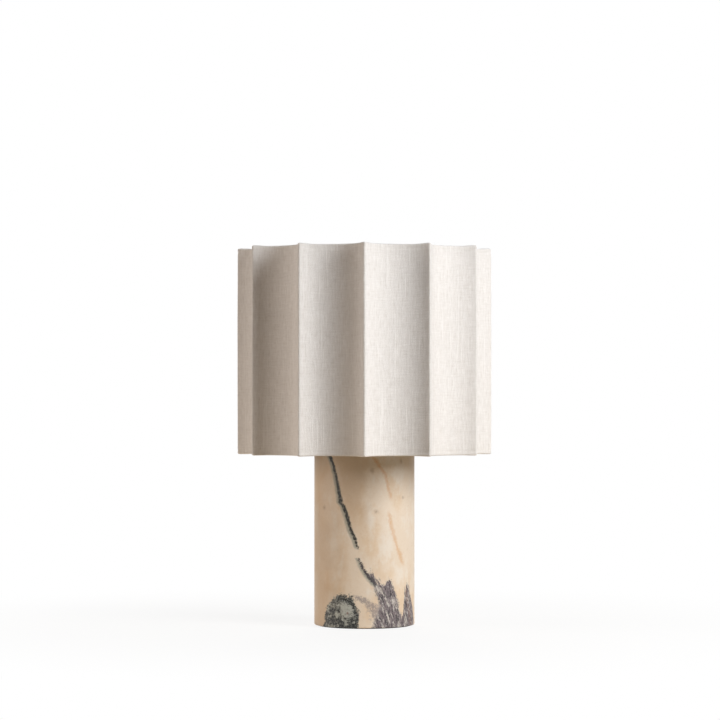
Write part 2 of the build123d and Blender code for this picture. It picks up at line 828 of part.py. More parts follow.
with BuildPart() as bulb_insulator:
    with BuildSketch(Plane.XZ):
        with BuildLine():
            Polyline(
                (0, pip_top),
                (pip_diameter / 2 + insulator_margin, pip_top),
                (cap_bore, cap_bottom),
                (cap_bore, cap_bottom + insulator_rise),
                (0, cap_bottom + insulator_rise),
                close=True,
            )
        make_face()
    revolve(axis=Axis.Z)

with BuildPart() as bulb_screw_cap:
    with BuildSketch(Plane.XY.offset(cap_bottom)):
        add(annulus(cap_radius, cap_bore))
    extrude(amount=screw_cap_height)

with BuildPart() as bulb_collar:
    with BuildSketch(Plane.XZ):
        with BuildLine():
            lean_out = (sin(radians(collar_lean)), cos(radians(collar_lean)))
            TangentArc((cap_radius, cap_mouth), (globe_mouth_radius, globe_mouth), tangent=lean_out)
            Polyline(
                (globe_mouth_radius, globe_mouth),
                (0, globe_mouth),
                (0, cap_mouth - insulator_rise),
                (cap_bore, cap_mouth - insulator_rise),
                (cap_bore, cap_mouth),
                (cap_radius, cap_mouth),
            )
        make_face()
    revolve(axis=Axis.Z)

with BuildPart() as bulb_globe:
    with BuildSketch(Plane.XZ):
        with BuildLine():
            outer_crest = (0, globe_centre + globe_radius)
            inner_crest = (0, globe_centre + globe_radius - globe_wall)
            opening = 180 - globe_mouth_angle
            glass = JernArc(outer_crest, (1, 0), globe_radius, -opening)
            lining = JernArc(inner_crest, (1, 0), globe_radius - globe_wall, -opening)
            Line(outer_crest, inner_crest)
            Line(glass @ 1, lining @ 1)
        make_face()
    revolve(axis=Axis.Z)

# ================================================================ one STEP file for each piece
pieces = {
    "marble_column": marble_column,
    "felt_pad": felt_pad,
    "base_cover": base_cover,
    "cord_gland": cord_gland,
    "threaded_rod": threaded_rod,
    "clamp_washer": clamp_washer,
    "lock_washer": lock_washer,
    "foot_nut": foot_nut,
    "top_nut": top_nut,
    "column_cap": column_cap,
    "brass_neck": brass_neck,
    "harp_saddle": harp_saddle,
    "harp": harp,
    "ferrule_left": ferrule_left,
    "ferrule_right": ferrule_right,
    "harp_swivel": harp_swivel,
    "finial": finial,
    "shade_linen": shade_linen,
    "shade_liner": shade_liner,
    "top_ring": top_ring,
    "bottom_ring": bottom_ring,
    "spider_arms": spider_arms,
    "spider_hub": spider_hub,
    "holder_cap": holder_cap,
    "set_screw": set_screw,
    "holder_shell": holder_shell,
    "insulating_sleeve": insulating_sleeve,
    "holder_block": holder_block,
    "terminal_screws": terminal_screws,
    "screw_shell": screw_shell,
    "centre_contact": centre_contact,
    "switch_shaft": switch_shaft,
    "switch_knob": switch_knob,
    "bulb_contact": bulb_contact,
    "bulb_insulator": bulb_insulator,
    "bulb_screw_cap": bulb_screw_cap,
    "bulb_collar": bulb_collar,
    "bulb_globe": bulb_globe,
}
os.makedirs("parts", exist_ok=True)
for name, piece in pieces.items():
    piece.part.label = name
    export_step(piece.part, f"parts/{name}.step")
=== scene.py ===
"""Dresses the column table lamp: its fluted linen shade, its marble column and the fittings between them.

Metres, +Z up, the front of the lamp faces -Y.
"""

import logging
from collections.abc import Mapping, Sequence
from dataclasses import dataclass, field, replace
from enum import Enum
from math import atan2, cos, exp, hypot, pi, radians, sin, sqrt
from typing import Any, Optional, Union

import bmesh
import bpy
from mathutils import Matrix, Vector

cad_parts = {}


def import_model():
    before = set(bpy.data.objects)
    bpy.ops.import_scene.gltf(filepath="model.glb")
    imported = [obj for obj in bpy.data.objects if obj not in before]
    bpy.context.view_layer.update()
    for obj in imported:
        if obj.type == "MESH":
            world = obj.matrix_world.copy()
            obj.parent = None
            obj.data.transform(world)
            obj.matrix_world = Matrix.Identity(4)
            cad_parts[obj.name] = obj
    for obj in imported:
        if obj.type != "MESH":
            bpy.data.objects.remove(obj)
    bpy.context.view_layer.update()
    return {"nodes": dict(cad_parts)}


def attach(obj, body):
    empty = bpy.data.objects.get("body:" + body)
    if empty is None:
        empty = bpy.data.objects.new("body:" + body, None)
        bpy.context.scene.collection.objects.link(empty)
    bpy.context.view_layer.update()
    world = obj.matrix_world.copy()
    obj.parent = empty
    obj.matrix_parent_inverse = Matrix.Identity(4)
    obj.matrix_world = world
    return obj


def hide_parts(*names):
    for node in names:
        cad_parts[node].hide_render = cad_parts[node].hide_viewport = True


log = logging.getLogger("lamp")

MM = 0.001
Colour = tuple[float, float, float]
Point = tuple[float, float, float]


def paint(red: int, green: int, blue: int) -> Colour:
    """Turns a colour as a screen shows it, 0 to 255, into the linear one that shaders use."""
    shares = (channel / 255 for channel in (red, green, blue))
    return tuple(s / 12.92 if s <= 0.04045 else ((s + 0.055) / 1.055) ** 2.4 for s in shares)


# ---------------------------------------------------------------- shader maths


class Output:
    """An output socket of a recipe's node."""

    def __init__(self, book: "Recipe", socket: bpy.types.NodeSocket) -> None:
        """Wraps the socket."""
        self.book = book
        self.socket = socket


class Field(Output):
    """A number that varies over a surface, which Python arithmetic can build on."""

    def math(self, operation: str, *values: Union["Field", float]) -> "Field":
        """Adds a Math node, with the values that its sockets take in order."""
        inputs = dict(enumerate(values))
        return self.book.number("ShaderNodeMath", {"operation": operation}, inputs)

    def __add__(self, other: Union["Field", float]) -> "Field":
        """Sum."""
        return self.math("ADD", self, other)

    __radd__ = __add__

    def __sub__(self, other: Union["Field", float]) -> "Field":
        """Difference."""
        return self.math("SUBTRACT", self, other)

    def __rsub__(self, other: float) -> "Field":
        """Difference from a number."""
        return self.math("SUBTRACT", other, self)

    def __mul__(self, other: Union["Field", float]) -> "Field":
        """Product."""
        return self.math("MULTIPLY", self, other)

    __rmul__ = __mul__

    def __truediv__(self, other: Union["Field", float]) -> "Field":
        """Quotient."""
        return self.math("DIVIDE", self, other)

    def __rtruediv__(self, other: float) -> "Field":
        """A number divided by this."""
        return self.math("DIVIDE", other, self)

    def __pow__(self, other: float) -> "Field":
        """Power."""
        return self.math("POWER", self, other)

    def __abs__(self) -> "Field":
        """Size without sign."""
        return self.math("ABSOLUTE", self)

    def larger(self, other: Union["Field", float]) -> "Field":
        """The larger of two values."""
        return self.math("MAXIMUM", self, other)

    def rise(self, start: Union["Field", float], end: Union["Field", float]) -> "Field":
        """Smooth step.

        Args:
            start: Where the result is 0.
            end: Where the result is 1; it may lie below start.

        Returns:
            The share of the way, eased at both ends.
        """
        inputs = {"Value": self, "From Min": start, "From Max": end}
        settings = {"interpolation_type": "SMOOTHSTEP", "clamp": True}
        return self.book.number("ShaderNodeMapRange", settings, inputs)


class Place(Output):
    """A point or direction that varies over a surface."""

    def vector_math(self, operation: str, *values: Any) -> "Place":
        """Adds a Vector Math node, with the values that its sockets take in order."""
        node = self.book.node("ShaderNodeVectorMath", {"operation": operation}, dict(enumerate(values)))
        return Place(self.book, node.outputs["Vector"])

    def __add__(self, other: Any) -> "Place":
        """Sum."""
        return self.vector_math("ADD", self, other)

    __radd__ = __add__

    def __mul__(self, other: Any) -> "Place":
        """Product, part by part."""
        return self.vector_math("MULTIPLY", self, other)

    __rmul__ = __mul__

    def parts(self) -> tuple[Field, Field, Field]:
        """The three numbers of the place."""
        node = self.book.node("ShaderNodeSeparateXYZ", {}, {0: self})
        return tuple(Field(self.book, output) for output in node.outputs)


class Tint(Output):
    """A colour that varies over a surface."""

    def toward(self, other: Union["Tint", Colour], share: Union[Field, float]) -> "Tint":
        """Mixes in a share of another colour, from 0 to 1."""
        return self.book.mix(self, other, share)

    def parts(self) -> tuple[Field, Field, Field]:
        """Its red, green and blue."""
        node = self.book.node("ShaderNodeSeparateColor", {}, {0: self})
        return tuple(Field(self.book, output) for output in node.outputs)


class Recipe:
    """The nodes of one material, or of the room."""

    def __init__(self, name: str, room: Optional[bpy.types.World] = None) -> None:
        """Starts an empty material, or empties the room's nodes.

        Args:
            name: The material's name.
            room: The room, if the nodes are its own.
        """
        self.holder = room or bpy.data.materials.new(name)
        self.holder.use_nodes = True
        self.tree = self.holder.node_tree
        self.tree.nodes.clear()

    def node(
        self, kind: str, settings: Mapping[str, Any], inputs: Mapping[Union[str, int], Any]
    ) -> bpy.types.Node:
        """Adds any node.

        Args:
            kind: The node's type.
            settings: Its own settings, set first; "stops" fills a colour ramp with (place, colour) pairs.
            inputs: A value or a link for each socket named or numbered.

        Returns:
            The node.
        """
        node = self.tree.nodes.new(kind)
        for name, value in settings.items():
            if name == "stops":
                self._fill_ramp(node.color_ramp, value)
            else:
                setattr(node, name, value)
        for name, value in inputs.items():
            socket = node.inputs[name]
            if isinstance(value, Output):
                self.tree.links.new(value.socket, socket)
            elif isinstance(value, bpy.types.NodeSocket):
                self.tree.links.new(value, socket)
            elif isinstance(value, tuple) and socket.type == "RGBA":
                socket.default_value = (*value, 1.0)
            else:
                socket.default_value = value
        return node

    @staticmethod
    def _fill_ramp(ramp: bpy.types.ColorRamp, stops: Sequence[tuple[float, Colour]]) -> None:
        """Writes a ramp's stops.

        Args:
            ramp: The ramp.
            stops: Pairs of place and colour, from the first place to the last.
        """
        while len(ramp.elements) < len(stops):
            ramp.elements.new(0.5)
        for element, (place, colour) in zip(ramp.elements, stops):
            element.position = place
            element.color = (*colour, 1.0)

    def number(
        self, kind: str, settings: Mapping[str, Any], inputs: Mapping[Union[str, int], Any]
    ) -> Field:
        """Adds a node and takes its first output as a number."""
        return Field(self, self.node(kind, settings, inputs).outputs[0])

    def place(self, x: Any, y: Any, z: Any = 0.0) -> Place:
        """Puts three numbers together as a place."""
        return Place(self, self.node("ShaderNodeCombineXYZ", {}, {0: x, 1: y, 2: z}).outputs[0])

    def mix(self, first: Any, second: Any, share: Any) -> Tint:
        """Mixes two colours.

        Args:
            first: The colour at share 0.
            second: The colour at share 1.
            share: A number or a field.

        Returns:
            The mixed colour.
        """
        settings = {"data_type": "RGBA", "clamp_factor": True}
        node = self.node("ShaderNodeMix", settings, {0: share, 6: first, 7: second})
        return Tint(self, node.outputs[2])

    def at(self) -> Place:
        """Where a point lies on the lamp at rest, in metres."""
        return Place(self, self.node("ShaderNodeTexCoord", {}, {}).outputs["Object"])

    def cloth_run(self) -> Place:
        """Where a point lies on a piece that was laid out flat, in metres."""
        return Place(self, self.node("ShaderNodeUVMap", {"uv_map": "laid_flat"}, {}).outputs[0])

    def noise(self, where: Place, scale: float, detail: float = 2.0, roughness: float = 0.5) -> Field:
        """Smooth noise, about 0 to 1, with scale cells to the metre and detail finer layers."""
        inputs = {"Vector": where, "Scale": scale, "Detail": detail, "Roughness": roughness}
        return self.number("ShaderNodeTexNoise", {"noise_dimensions": "3D"}, inputs)

    def ramp(self, value: Field, stops: Sequence[tuple[float, Colour]]) -> Tint:
        """Reads a colour ramp."""
        node = self.node("ShaderNodeValToRGB", {"stops": stops}, {0: value})
        return Tint(self, node.outputs[0])

    def bump(self, height: Field, distance: float, strength: float = 1.0) -> bpy.types.NodeSocket:
        """Turns a height into a surface normal; a height of 1 stands for the distance."""
        inputs = {"Height": height, "Distance": distance, "Strength": strength}
        return self.node("ShaderNodeBump", {}, inputs).outputs[0]

    def surface(self, **sockets: Any) -> bpy.types.Material:
        """Ends the recipe in one surface shader.

        Args:
            sockets: Values or links, by socket name with _ for spaces.

        Returns:
            The finished material.
        """
        inputs = {name.replace("_", " "): value for name, value in sockets.items()}
        shader = self.node("ShaderNodeBsdfPrincipled", {}, inputs)
        return self.shade(shader.outputs[0])

    def shade(self, shader: bpy.types.NodeSocket) -> bpy.types.Material:
        """Shows a shader as the material's surface."""
        self.node("ShaderNodeOutputMaterial", {}, {0: shader})
        return self.holder


# ---------------------------------------------------------------- finishes


@dataclass(frozen=True)
class Grain:
    """Noise drawn out along the threads of a cloth: cells to the metre across it and up it."""

    across: float
    up: float
    layer: float = 0.0
    detail: float = 3.0
    roughness: float = 0.6

    def on(self, book: Recipe, across: Field, up: Field) -> Field:
        """Draws the noise on cloth, from the metres across it and up it when laid out flat."""
        where = book.place(across * self.across, up * self.up, self.layer)
        return book.noise(where, 1.0, self.detail, self.roughness)


@dataclass(frozen=True)
class Linen:
    """Undyed slub linen, woven with uneven threads."""

    ground: Colour = paint(232, 228, 224)
    shaded: Colour = paint(213, 207, 200)
    pale: Colour = paint(246, 243, 240)
    thread: float = 0.6 * MM
    relief: float = 0.8 * MM
    overlap: float = 9.0 * MM
    overlap_edge: float = 0.2 * MM
    warp: Grain = Grain(480.0, 90.0)
    long_warp: Grain = Grain(440.0, 7.0, 2.0)
    weft: Grain = Grain(80.0, 560.0, 7.0)
    slub: Grain = Grain(300.0, 12.0, 3.0, 2.0, 0.5)
    cloud: Grain = Grain(14.0, 9.0, 5.0, 2.0, 0.5)

    def material(self) -> bpy.types.Material:
        """Makes the cloth's material, with the glued overlap of its ends at the back ridge.

        Returns:
            The material.
        """
        book = Recipe("linen")
        across, up, _ = book.cloth_run().parts()
        grains = (self.warp, self.long_warp, self.weft, self.slub, self.cloud)
        warp, long_warp, weft, slub, cloud = (grain.on(book, across, up) for grain in grains)
        slubs = slub.rise(0.6, 0.7)
        over, under = (run.math("SINE", run * (2 * pi / self.thread)) for run in (across, up))
        weave = over * under * 0.5 + 0.5
        threads = warp * 0.5 + weft * 0.33 + long_warp * 0.17
        colour = book.mix(self.ground, self.shaded, threads.rise(0.5, 0.38) * 0.42)
        colour = colour.toward(self.pale, threads.rise(0.5, 0.62) * 0.5)
        colour = colour.toward(self.pale, slubs * 0.5)
        colour = colour.toward(self.shaded, cloud.rise(0.55, 0.8) * 0.16)
        seam = across.rise(self.overlap + self.overlap_edge, self.overlap - self.overlap_edge)
        height = warp * 0.38 + weft * 0.26 + long_warp * 0.14 + weave * 0.1 + slubs * 0.14 + seam * 0.6
        return book.surface(
            Base_Color=colour,
            Roughness=0.92,
            Sheen_Weight=0.06,
            Sheen_Roughness=0.5,
            Specular_IOR_Level=0.2,
            Normal=book.bump(height, self.relief, 0.95),
        )


@dataclass(frozen=True)
class StoneFace:
    """Where a point lies on the stone, and the noise that roughens what is drawn there.

    Across is millimetres round the stone from its front, height is millimetres up it, and both noises are
    centred on 0.
    """

    book: Recipe
    across: Field
    height: Field
    broad: Field
    fine: Field

    def off(self, across: float, height: float) -> Field:
        """Millimetres from a place on the stone."""
        x, y = self.across - across, self.height - height
        return (x * x + y * y) ** 0.5

    def blots(self, across: Any, up: Any, layer: float, detail: float, roughness: float) -> Field:
        """Noise at a place worked out on the stone's face, both numbers in cells."""
        return self.book.noise(self.book.place(across, up, layer), 1.0, detail, roughness)


@dataclass(frozen=True)
class Vein:
    """A line in the stone, drawn by its places from the top down.

    Each place is (across, height, half width) in millimetres. A colour ramp holds the places, so none lies
    further than half the reach from the front and no half width is over the widest.
    """

    run: tuple[Point, ...]
    wander: float = 1.2
    ragged: float = 0.6
    soft: float = 0.5
    taper: float = 0.03
    reach: float = 400.0
    widest: float = 30.0

    def mask(self, face: StoneFace) -> Field:
        """Finds how strongly the vein shows at a point.

        Args:
            face: The stone's face.

        Returns:
            1 in the vein and 0 beside it.
        """
        high, low = self.run[0][1], self.run[-1][1]
        share = (face.height - low) / (high - low)
        stops = [
            ((height - low) / (high - low), (0.5 + across / self.reach, width / self.widest, 0.0))
            for across, height, width in reversed(self.run)
        ]
        across, half, _ = face.book.ramp(share, stops).parts()
        centre, width = (across - 0.5) * self.reach, half * self.widest
        off = abs(face.across - centre + face.broad * self.wander) + face.fine * self.ragged
        ends = share.rise(-0.01, self.taper) * share.rise(1.01, 1 - self.taper)
        return off.rise(width + self.soft, width * 0.6) * ends


@dataclass(frozen=True)
class Marble:
    """Cream marble with a dark vein, rust threads, and grey and purple patches near the foot.

    Places on it are millimetres round the stone from its front and up it, and a spot also has its size.
    """

    radius: float = 60.0
    cream: Colour = paint(221, 206, 188)
    peach: Colour = paint(212, 187, 157)
    milk: Colour = paint(226, 219, 209)
    tan: Colour = paint(176, 146, 112)
    vein: Colour = paint(26, 28, 28)
    smoke: Colour = paint(64, 60, 64)
    halo: Colour = paint(132, 135, 126)
    rust: Colour = paint(198, 140, 66)
    brown: Colour = paint(140, 112, 90)
    plum: Colour = paint(108, 97, 101)
    ash: Colour = paint(184, 181, 179)
    slate: Colour = paint(50, 47, 52)
    moss: Colour = paint(120, 124, 121)
    sage: Colour = paint(188, 192, 187)
    fog: Colour = paint(203, 203, 200)
    mauve: Colour = paint(136, 128, 130)
    umber: Colour = paint(112, 78, 66)
    halo_offset: float = 2.2
    halo_spread: float = 1.8

    dark_vein: Vein = Vein(
        (
            (-50.0, 216.0, 2.0), (-46.5, 207.0, 2.6), (-43.5, 201.0, 2.8), (-39.5, 192.0, 2.1),
            (-35.8, 181.6, 1.7), (-32.3, 168.0, 1.8), (-30.0, 156.0, 2.3), (-29.0, 148.5, 2.8),
            (-25.0, 144.0, 2.4), (-22.4, 137.5, 2.5), (-19.7, 129.0, 2.4), (-15.8, 117.0, 2.0),
            (-11.2, 106.6, 1.7), (-7.3, 93.5, 0.6),
        ),
        wander=3.0, ragged=5.0, soft=0.9,
    )
    vein_tail: Vein = Vein(
        (
            (-7.0, 84.0, 0.1), (-3.6, 76.5, 0.6), (0.2, 68.3, 1.0), (4.7, 62.3, 1.8), (9.2, 57.0, 2.0),
            (14.0, 51.0, 1.2),
        ),
        wander=2.0, ragged=8.0, soft=1.8,
    )
    rust_threads: tuple[Vein, ...] = (
        Vein(
            (
                (6.0, 208.0, 0.6), (11.6, 200.0, 1.4), (17.0, 192.3, 1.2), (24.3, 183.4, 0.6),
                (29.3, 169.6, 0.8), (31.0, 160.0, 0.3), (33.0, 148.0, 0.1),
            ),
            wander=6.0, ragged=11.0, soft=3.0, taper=0.16,
        ),
        Vein(
            (
                (30.0, 140.0, 0.4), (31.8, 128.9, 1.8), (35.5, 117.0, 1.2), (38.6, 104.0, 0.4),
                (42.5, 96.0, 0.6), (46.3, 89.5, 1.6), (49.5, 79.8, 0.8), (53.0, 72.0, 0.1),
            ),
            wander=6.0, ragged=11.0, soft=3.0, taper=0.12,
        ),
    )
    tan_cloud: Vein = Vein(
        (
            (-22.0, 280.0, 14.0), (-20.0, 205.0, 13.0), (-15.0, 165.0, 8.0), (-12.0, 145.0, 5.0),
            (-8.0, 125.0, 2.0), (0.0, 95.0, 0.1),
        ),
        wander=40.0, ragged=8.0, soft=20.0, taper=0.3,
    )
    haze: Vein = Vein(
        (
            (-11.0, 41.0, 2.0), (-5.3, 36.5, 5.0), (1.0, 33.0, 5.0), (8.0, 29.0, 4.6), (13.0, 22.0, 5.6),
            (16.5, 12.0, 4.4), (18.0, -2.0, 3.4),
        ),
        wander=10.0, ragged=22.0, soft=5.0, taper=0.1,
    )
    back_vein: Vein = Vein(
        (
            (96.0, 222.0, 0.8), (106.0, 184.0, 1.4), (121.0, 152.0, 1.0), (127.0, 120.0, 1.8),
            (145.0, 84.0, 1.2), (152.0, 52.0, 2.0), (170.0, 22.0, 1.2), (176.0, -4.0, 0.8),
        ),
        wander=12.0, ragged=6.5, soft=0.9,
    )
    side_vein: Vein = Vein(
        (
            (-102.0, 222.0, 1.6), (-112.0, 176.0, 1.1), (-118.0, 138.0, 1.8), (-134.0, 104.0, 0.9),
            (-150.0, 78.0, 1.2), (-158.0, 52.0, 0.2),
        ),
        wander=12.0, ragged=6.5, soft=0.9, taper=0.1,
    )
    brown_spots: tuple[Point, ...] = (
        (9.2, 186.3, 2.8), (13.9, 138.2, 2.2), (51.9, 154.0, 1.6), (48.3, 197.2, 2.4), (-55.0, 142.0, 2.6),
    )
    finger_tips: tuple[tuple[float, float], ...] = (
        (0.0, 10.0), (5.0, 66.0), (9.2, 64.0), (16.0, 57.0), (21.0, 51.0), (26.0, 51.0), (30.2, 58.0),
        (34.0, 52.0), (40.2, 40.0), (46.0, 27.0), (50.0, 10.0), (52.0, 14.0), (54.5, 45.0), (57.0, 46.0),
        (59.6, 56.0), (64.0, 46.0), (70.0, 34.0), (76.0, 22.0), (83.0, 0.0),
    )
    fingers_from: float = -6.0
    fingers_to: float = 92.0
    finger_reach: float = 100.0
    # Where the painted shade on the left side starts, and where it fades out toward the back, in millimetres
    # round from the front.
    shaded_left_side: tuple[float, float] = (-14.0, -66.0)
    shaded_left_fade: tuple[float, float] = (-182.0, -100.0)
    plum_lean: tuple[float, float] = (0.93, 0.37)
    plum_left: float = 19.5
    plum_notch: float = 27.0
    plum_right: tuple[float, float] = (84.0, 79.0)
    umber_streak: tuple[float, float] = (58.5, 40.0)
    umber_dot: tuple[float, float] = (-20.1, 18.5)
    slate_at: tuple[float, float] = (-32.0, 4.0)
    slate_size: tuple[float, float] = (25.0, 36.0)
    calm_at: tuple[float, float] = (-20.0, 25.0)
    calm_size: tuple[float, float] = (8.5, 10.5)

    def material(self) -> bpy.types.Material:
        """Makes the stone's material.

        Returns:
            The material.
        """
        book = Recipe("marble")
        where = book.at()
        x, y, z = where.parts()
        face = StoneFace(
            book=book,
            across=x.math("ARCTAN2", x, y * -1.0) * self.radius,
            height=z * 1000,
            broad=book.noise(where, 55.0, 3.0) - 0.5,
            fine=book.noise(where, 480.0, 3.0, 0.65) - 0.5,
        )
        colour = self._ground(book, where)
        for drawn in (self._clouds, self._plum_patch, self._veins, self._slate_patch):
            colour = drawn(face, colour)
        polish = book.noise(where, 90.0, 3.0)
        return book.surface(
            Base_Color=colour,
            Roughness=0.42 + polish * 0.16,
            Specular_IOR_Level=0.35,
            Normal=book.bump(face.fine + 0.5, 0.06 * MM, 0.35),
        )

    def _ground(self, book: Recipe, where: Place) -> Tint:
        """Draws mottled cream, peach and milky stone.

        Args:
            book: The recipe that it is drawn in.
            where: Where a point lies on the lamp.

        Returns:
            The colour.
        """
        leaning = where * (1.0, 1.0, 0.55)
        cloud = book.noise(leaning, 26.0, 4.0, 0.6)
        second = book.noise(leaning + (3.0, 1.0, 2.0), 44.0, 4.0, 0.62)
        grain = book.noise(where, 320.0, 4.0, 0.65)
        colour = book.mix(self.cream, self.peach, cloud.rise(0.46, 0.66) * 0.7)
        colour = colour.toward(self.milk, second.rise(0.5, 0.66) * 0.6)
        colour = colour.toward(self.tan, grain.rise(0.52, 0.74) * 0.16)
        return colour.toward(self.milk, grain.rise(0.46, 0.3) * 0.3)

    def _clouds(self, face: StoneFace, colour: Tint) -> Tint:
        """Draws the warm cloud, painted shade toward tan on the left side away from the key light, the rust
        threads and a few brown spots.

        Args:
            face: The stone's face.
            colour: The colour so far.

        Returns:
            The colour with them.
        """
        colour = colour.toward(self.tan, self.tan_cloud.mask(face) * 0.42)
        # Painted shade: the left side, away from the key light, is darkened toward tan and fades out toward
        # the back.
        left = (face.across + face.broad * 50).rise(*self.shaded_left_side)
        colour = colour.toward(self.tan, left * face.across.rise(*self.shaded_left_fade) * 0.45)
        for thread in self.rust_threads:
            colour = colour.toward(self.rust, thread.mask(face) * (0.45 + face.fine * 1.2))
        for across, height, size in self.brown_spots:
            off = face.off(across, height) + face.fine * 6
            colour = colour.toward(self.brown, off.rise(size * 1.8, -1.0) * 0.55)
        return colour

    def _veins(self, face: StoneFace, colour: Tint) -> Tint:
        """Draws the dark veins, each crumbled and with a grey halo on its left.

        Args:
            face: The stone's face.
            colour: The colour so far.

        Returns:
            The colour with them.
        """
        crumble = face.fine.rise(0.16, -0.02)
        beside = replace(face, across=face.across + self.halo_offset, fine=face.fine * 0.5)
        inks = (
            (self.dark_vein, self.vein), (self.vein_tail, self.smoke), (self.back_vein, self.vein),
            (self.side_vein, self.vein),
        )
        for vein, ink in inks:
            halo = replace(vein, soft=vein.soft + self.halo_spread)
            colour = colour.toward(self.halo, halo.mask(beside) * 0.7)
            colour = colour.toward(ink, vein.mask(face) * (0.62 + crumble * 0.36))
        return colour

    def _finger_rim(self, face: StoneFace) -> Field:
        """Finds how high the plum patch's fingers reach.

        Args:
            face: The stone's face.

        Returns:
            The height in millimetres.
        """
        start, width, reach = self.fingers_from, self.fingers_to - self.fingers_from, self.finger_reach
        stops = [((across - start) / width, (height / reach,) * 3) for across, height in self.finger_tips]
        return face.book.ramp((face.across - start) / width, stops).parts()[0] * reach

    def _plum_patch(self, face: StoneFace, colour: Tint) -> Tint:
        """Draws streaked purple-grey fingers that reach up from the foot on the right, and a haze.

        Args:
            face: The stone's face.
            colour: The colour so far.

        Returns:
            The colour with them.
        """
        across, height = face.across, face.height
        upright, aslant = self.plum_lean
        lean = across * upright + height * aslant
        along = height * upright - across * aslant
        streak = face.blots(lean * 0.21 + face.broad * 2, along * 0.045, 0.0, 5.0, 0.72)
        thread = face.blots(lean * 0.5 + face.broad * 3, along * 0.09, 4.0, 4.0, 0.7)
        crystal = face.blots(across * 0.45, height * 0.36, 8.0, 4.0, 0.7)
        rough = (streak - 0.5) * 40 + face.fine * 16
        notch = abs(height - self.plum_notch) * 0.36
        left = (across - self.plum_left + notch + rough * 0.3).rise(-3.0, 2.5)
        inside = (self._finger_rim(face) - height + rough).rise(-2.5, 4.5) * left
        inside = inside * across.rise(*self.plum_right)
        streak_across, streak_height = self.umber_streak
        red = abs(across - streak_across + (height - streak_height) * 0.3)
        mist = self.haze.mask(face) * crystal.rise(0.3, 0.54)
        dark = thread.rise(0.47, 0.57) * crystal.rise(0.38, 0.54)
        light = (1 - thread).rise(0.54, 0.62) * (1 - crystal).rise(0.46, 0.56)
        colour = colour.toward(self.mauve, mist * 0.8)
        colour = colour.toward(self.ash, inside * 0.8)
        colour = colour.toward(self.plum, inside * streak.rise(0.4, 0.51) * 0.95)
        colour = colour.toward(self.slate, inside * dark * 0.95)
        colour = colour.toward(self.umber, inside * red.rise(5.0, 1.0) * crystal.rise(0.4, 0.55) * 0.6)
        return colour.toward(self.fog, inside * light * 0.7)

    def _slate_patch(self, face: StoneFace, colour: Tint) -> Tint:
        """Draws a mottled grey patch at the foot, left of the front, with a paler middle and a dark rim.

        Args:
            face: The stone's face.
            colour: The colour so far.

        Returns:
            The colour with it.
        """
        across, height = face.across, face.height
        (slate_across, slate_height), (wide, tall) = self.slate_at, self.slate_size
        x = (across - slate_across - height * 0.12 + face.broad * 16) / wide
        y = (height - slate_height + face.broad * 12) / tall
        off = (x * x + y * y) ** 0.5 + face.fine * 0.45
        inside = off.rise(1.05, 0.93)
        blots = face.blots(across * 0.16, height * 0.16, 9.0, 5.0, 0.78)
        crumbs = face.blots(across * 0.42, height * 0.42, 5.0, 4.0, 0.7)
        (calm_across, calm_height), (calm_wide, calm_tall) = self.calm_at, self.calm_size
        middle = ((across - calm_across) / calm_wide) ** 2.0 + ((height - calm_height) / calm_tall) ** 2.0
        calm = (middle + face.fine * 4 + face.broad * 3).rise(1.6, 0.7)
        rim = off.rise(0.7, 0.84) * (across + height * 0.5).rise(-26.0, -8.0)
        low = (height + (across - slate_across) * 0.4).rise(24.0, 4.0) * 0.05
        dark = (blots + low - 0.014).rise(0.47, 0.52) * (1 - calm * 0.9)
        dark = dark.larger(rim * blots.rise(0.3, 0.38)) * (0.45 + crumbs.rise(0.4, 0.52) * 0.55)
        pale = calm.larger((1 - blots).rise(0.53, 0.6)) * crumbs.rise(0.66, 0.5)
        colour = colour.toward(self.moss, inside * 0.95)
        colour = colour.toward(self.sage, inside * pale * 0.8)
        colour = colour.toward(self.vein, inside * dark)
        dot = face.off(*self.umber_dot) + face.fine * 4
        return colour.toward(self.umber, dot.rise(2.4, 0.4) * 0.7)


@dataclass(frozen=True)
class Metal:
    """A metal finish, turned, drawn or plated."""

    name: str
    colour: Colour
    worn: Colour
    roughness: float = 0.3
    turned: bool = True
    scratch: float = 0.02 * MM
    thread_pitch: float = 0.0
    thread_from: float = 0.0
    turned_lines: float = 2600.0
    drawn_lines: tuple[float, float, float] = (700.0, 700.0, 90.0)

    def material(self) -> bpy.types.Material:
        """Makes the metal's material, with a cut thread above thread_from if it has a pitch.

        Returns:
            The material.
        """
        book = Recipe(self.name)
        where = book.at()
        x, y, z = where.parts()
        if self.turned:
            out = (x * x + y * y) ** 0.5
            turn = x.math("ARCTAN2", x, y)
            lines = book.place(out * self.turned_lines, z * self.turned_lines, turn * 0.6)
        else:
            lines = where * self.drawn_lines
        grain = book.noise(lines, 1.0, 3.0, 0.6)
        cloud = book.noise(where, 60.0, 3.0)
        colour = book.mix(self.colour, self.worn, cloud.rise(0.42, 0.72) * 0.7)
        return book.surface(
            Base_Color=colour,
            Metallic=1.0,
            Roughness=self.roughness - 0.06 + grain * 0.12 + cloud * 0.06,
            Normal=self._relief(book, x, y, z, grain),
        )

    def _relief(self, book: Recipe, x: Field, y: Field, z: Field, grain: Field) -> bpy.types.NodeSocket:
        """Makes the relief of fine grain, and of a cut thread.

        Args:
            book: The recipe that it is drawn in.
            x: Metres to the right of the lamp's axis.
            y: Metres behind it.
            z: Metres above the table.
            grain: Fine noise.

        Returns:
            The surface normal.
        """
        if not self.thread_pitch:
            return book.bump(grain, self.scratch, 0.5)
        turn = z * (1 / self.thread_pitch) - y.math("ARCTAN2", y, x) * (0.5 / pi)
        flank = turn.math("PINGPONG", turn, 0.5) * 2
        cut = z.rise(self.thread_from, self.thread_from + 0.1 * MM)
        return book.bump(flank * cut + grain * 0.04, self.thread_pitch * 0.5)


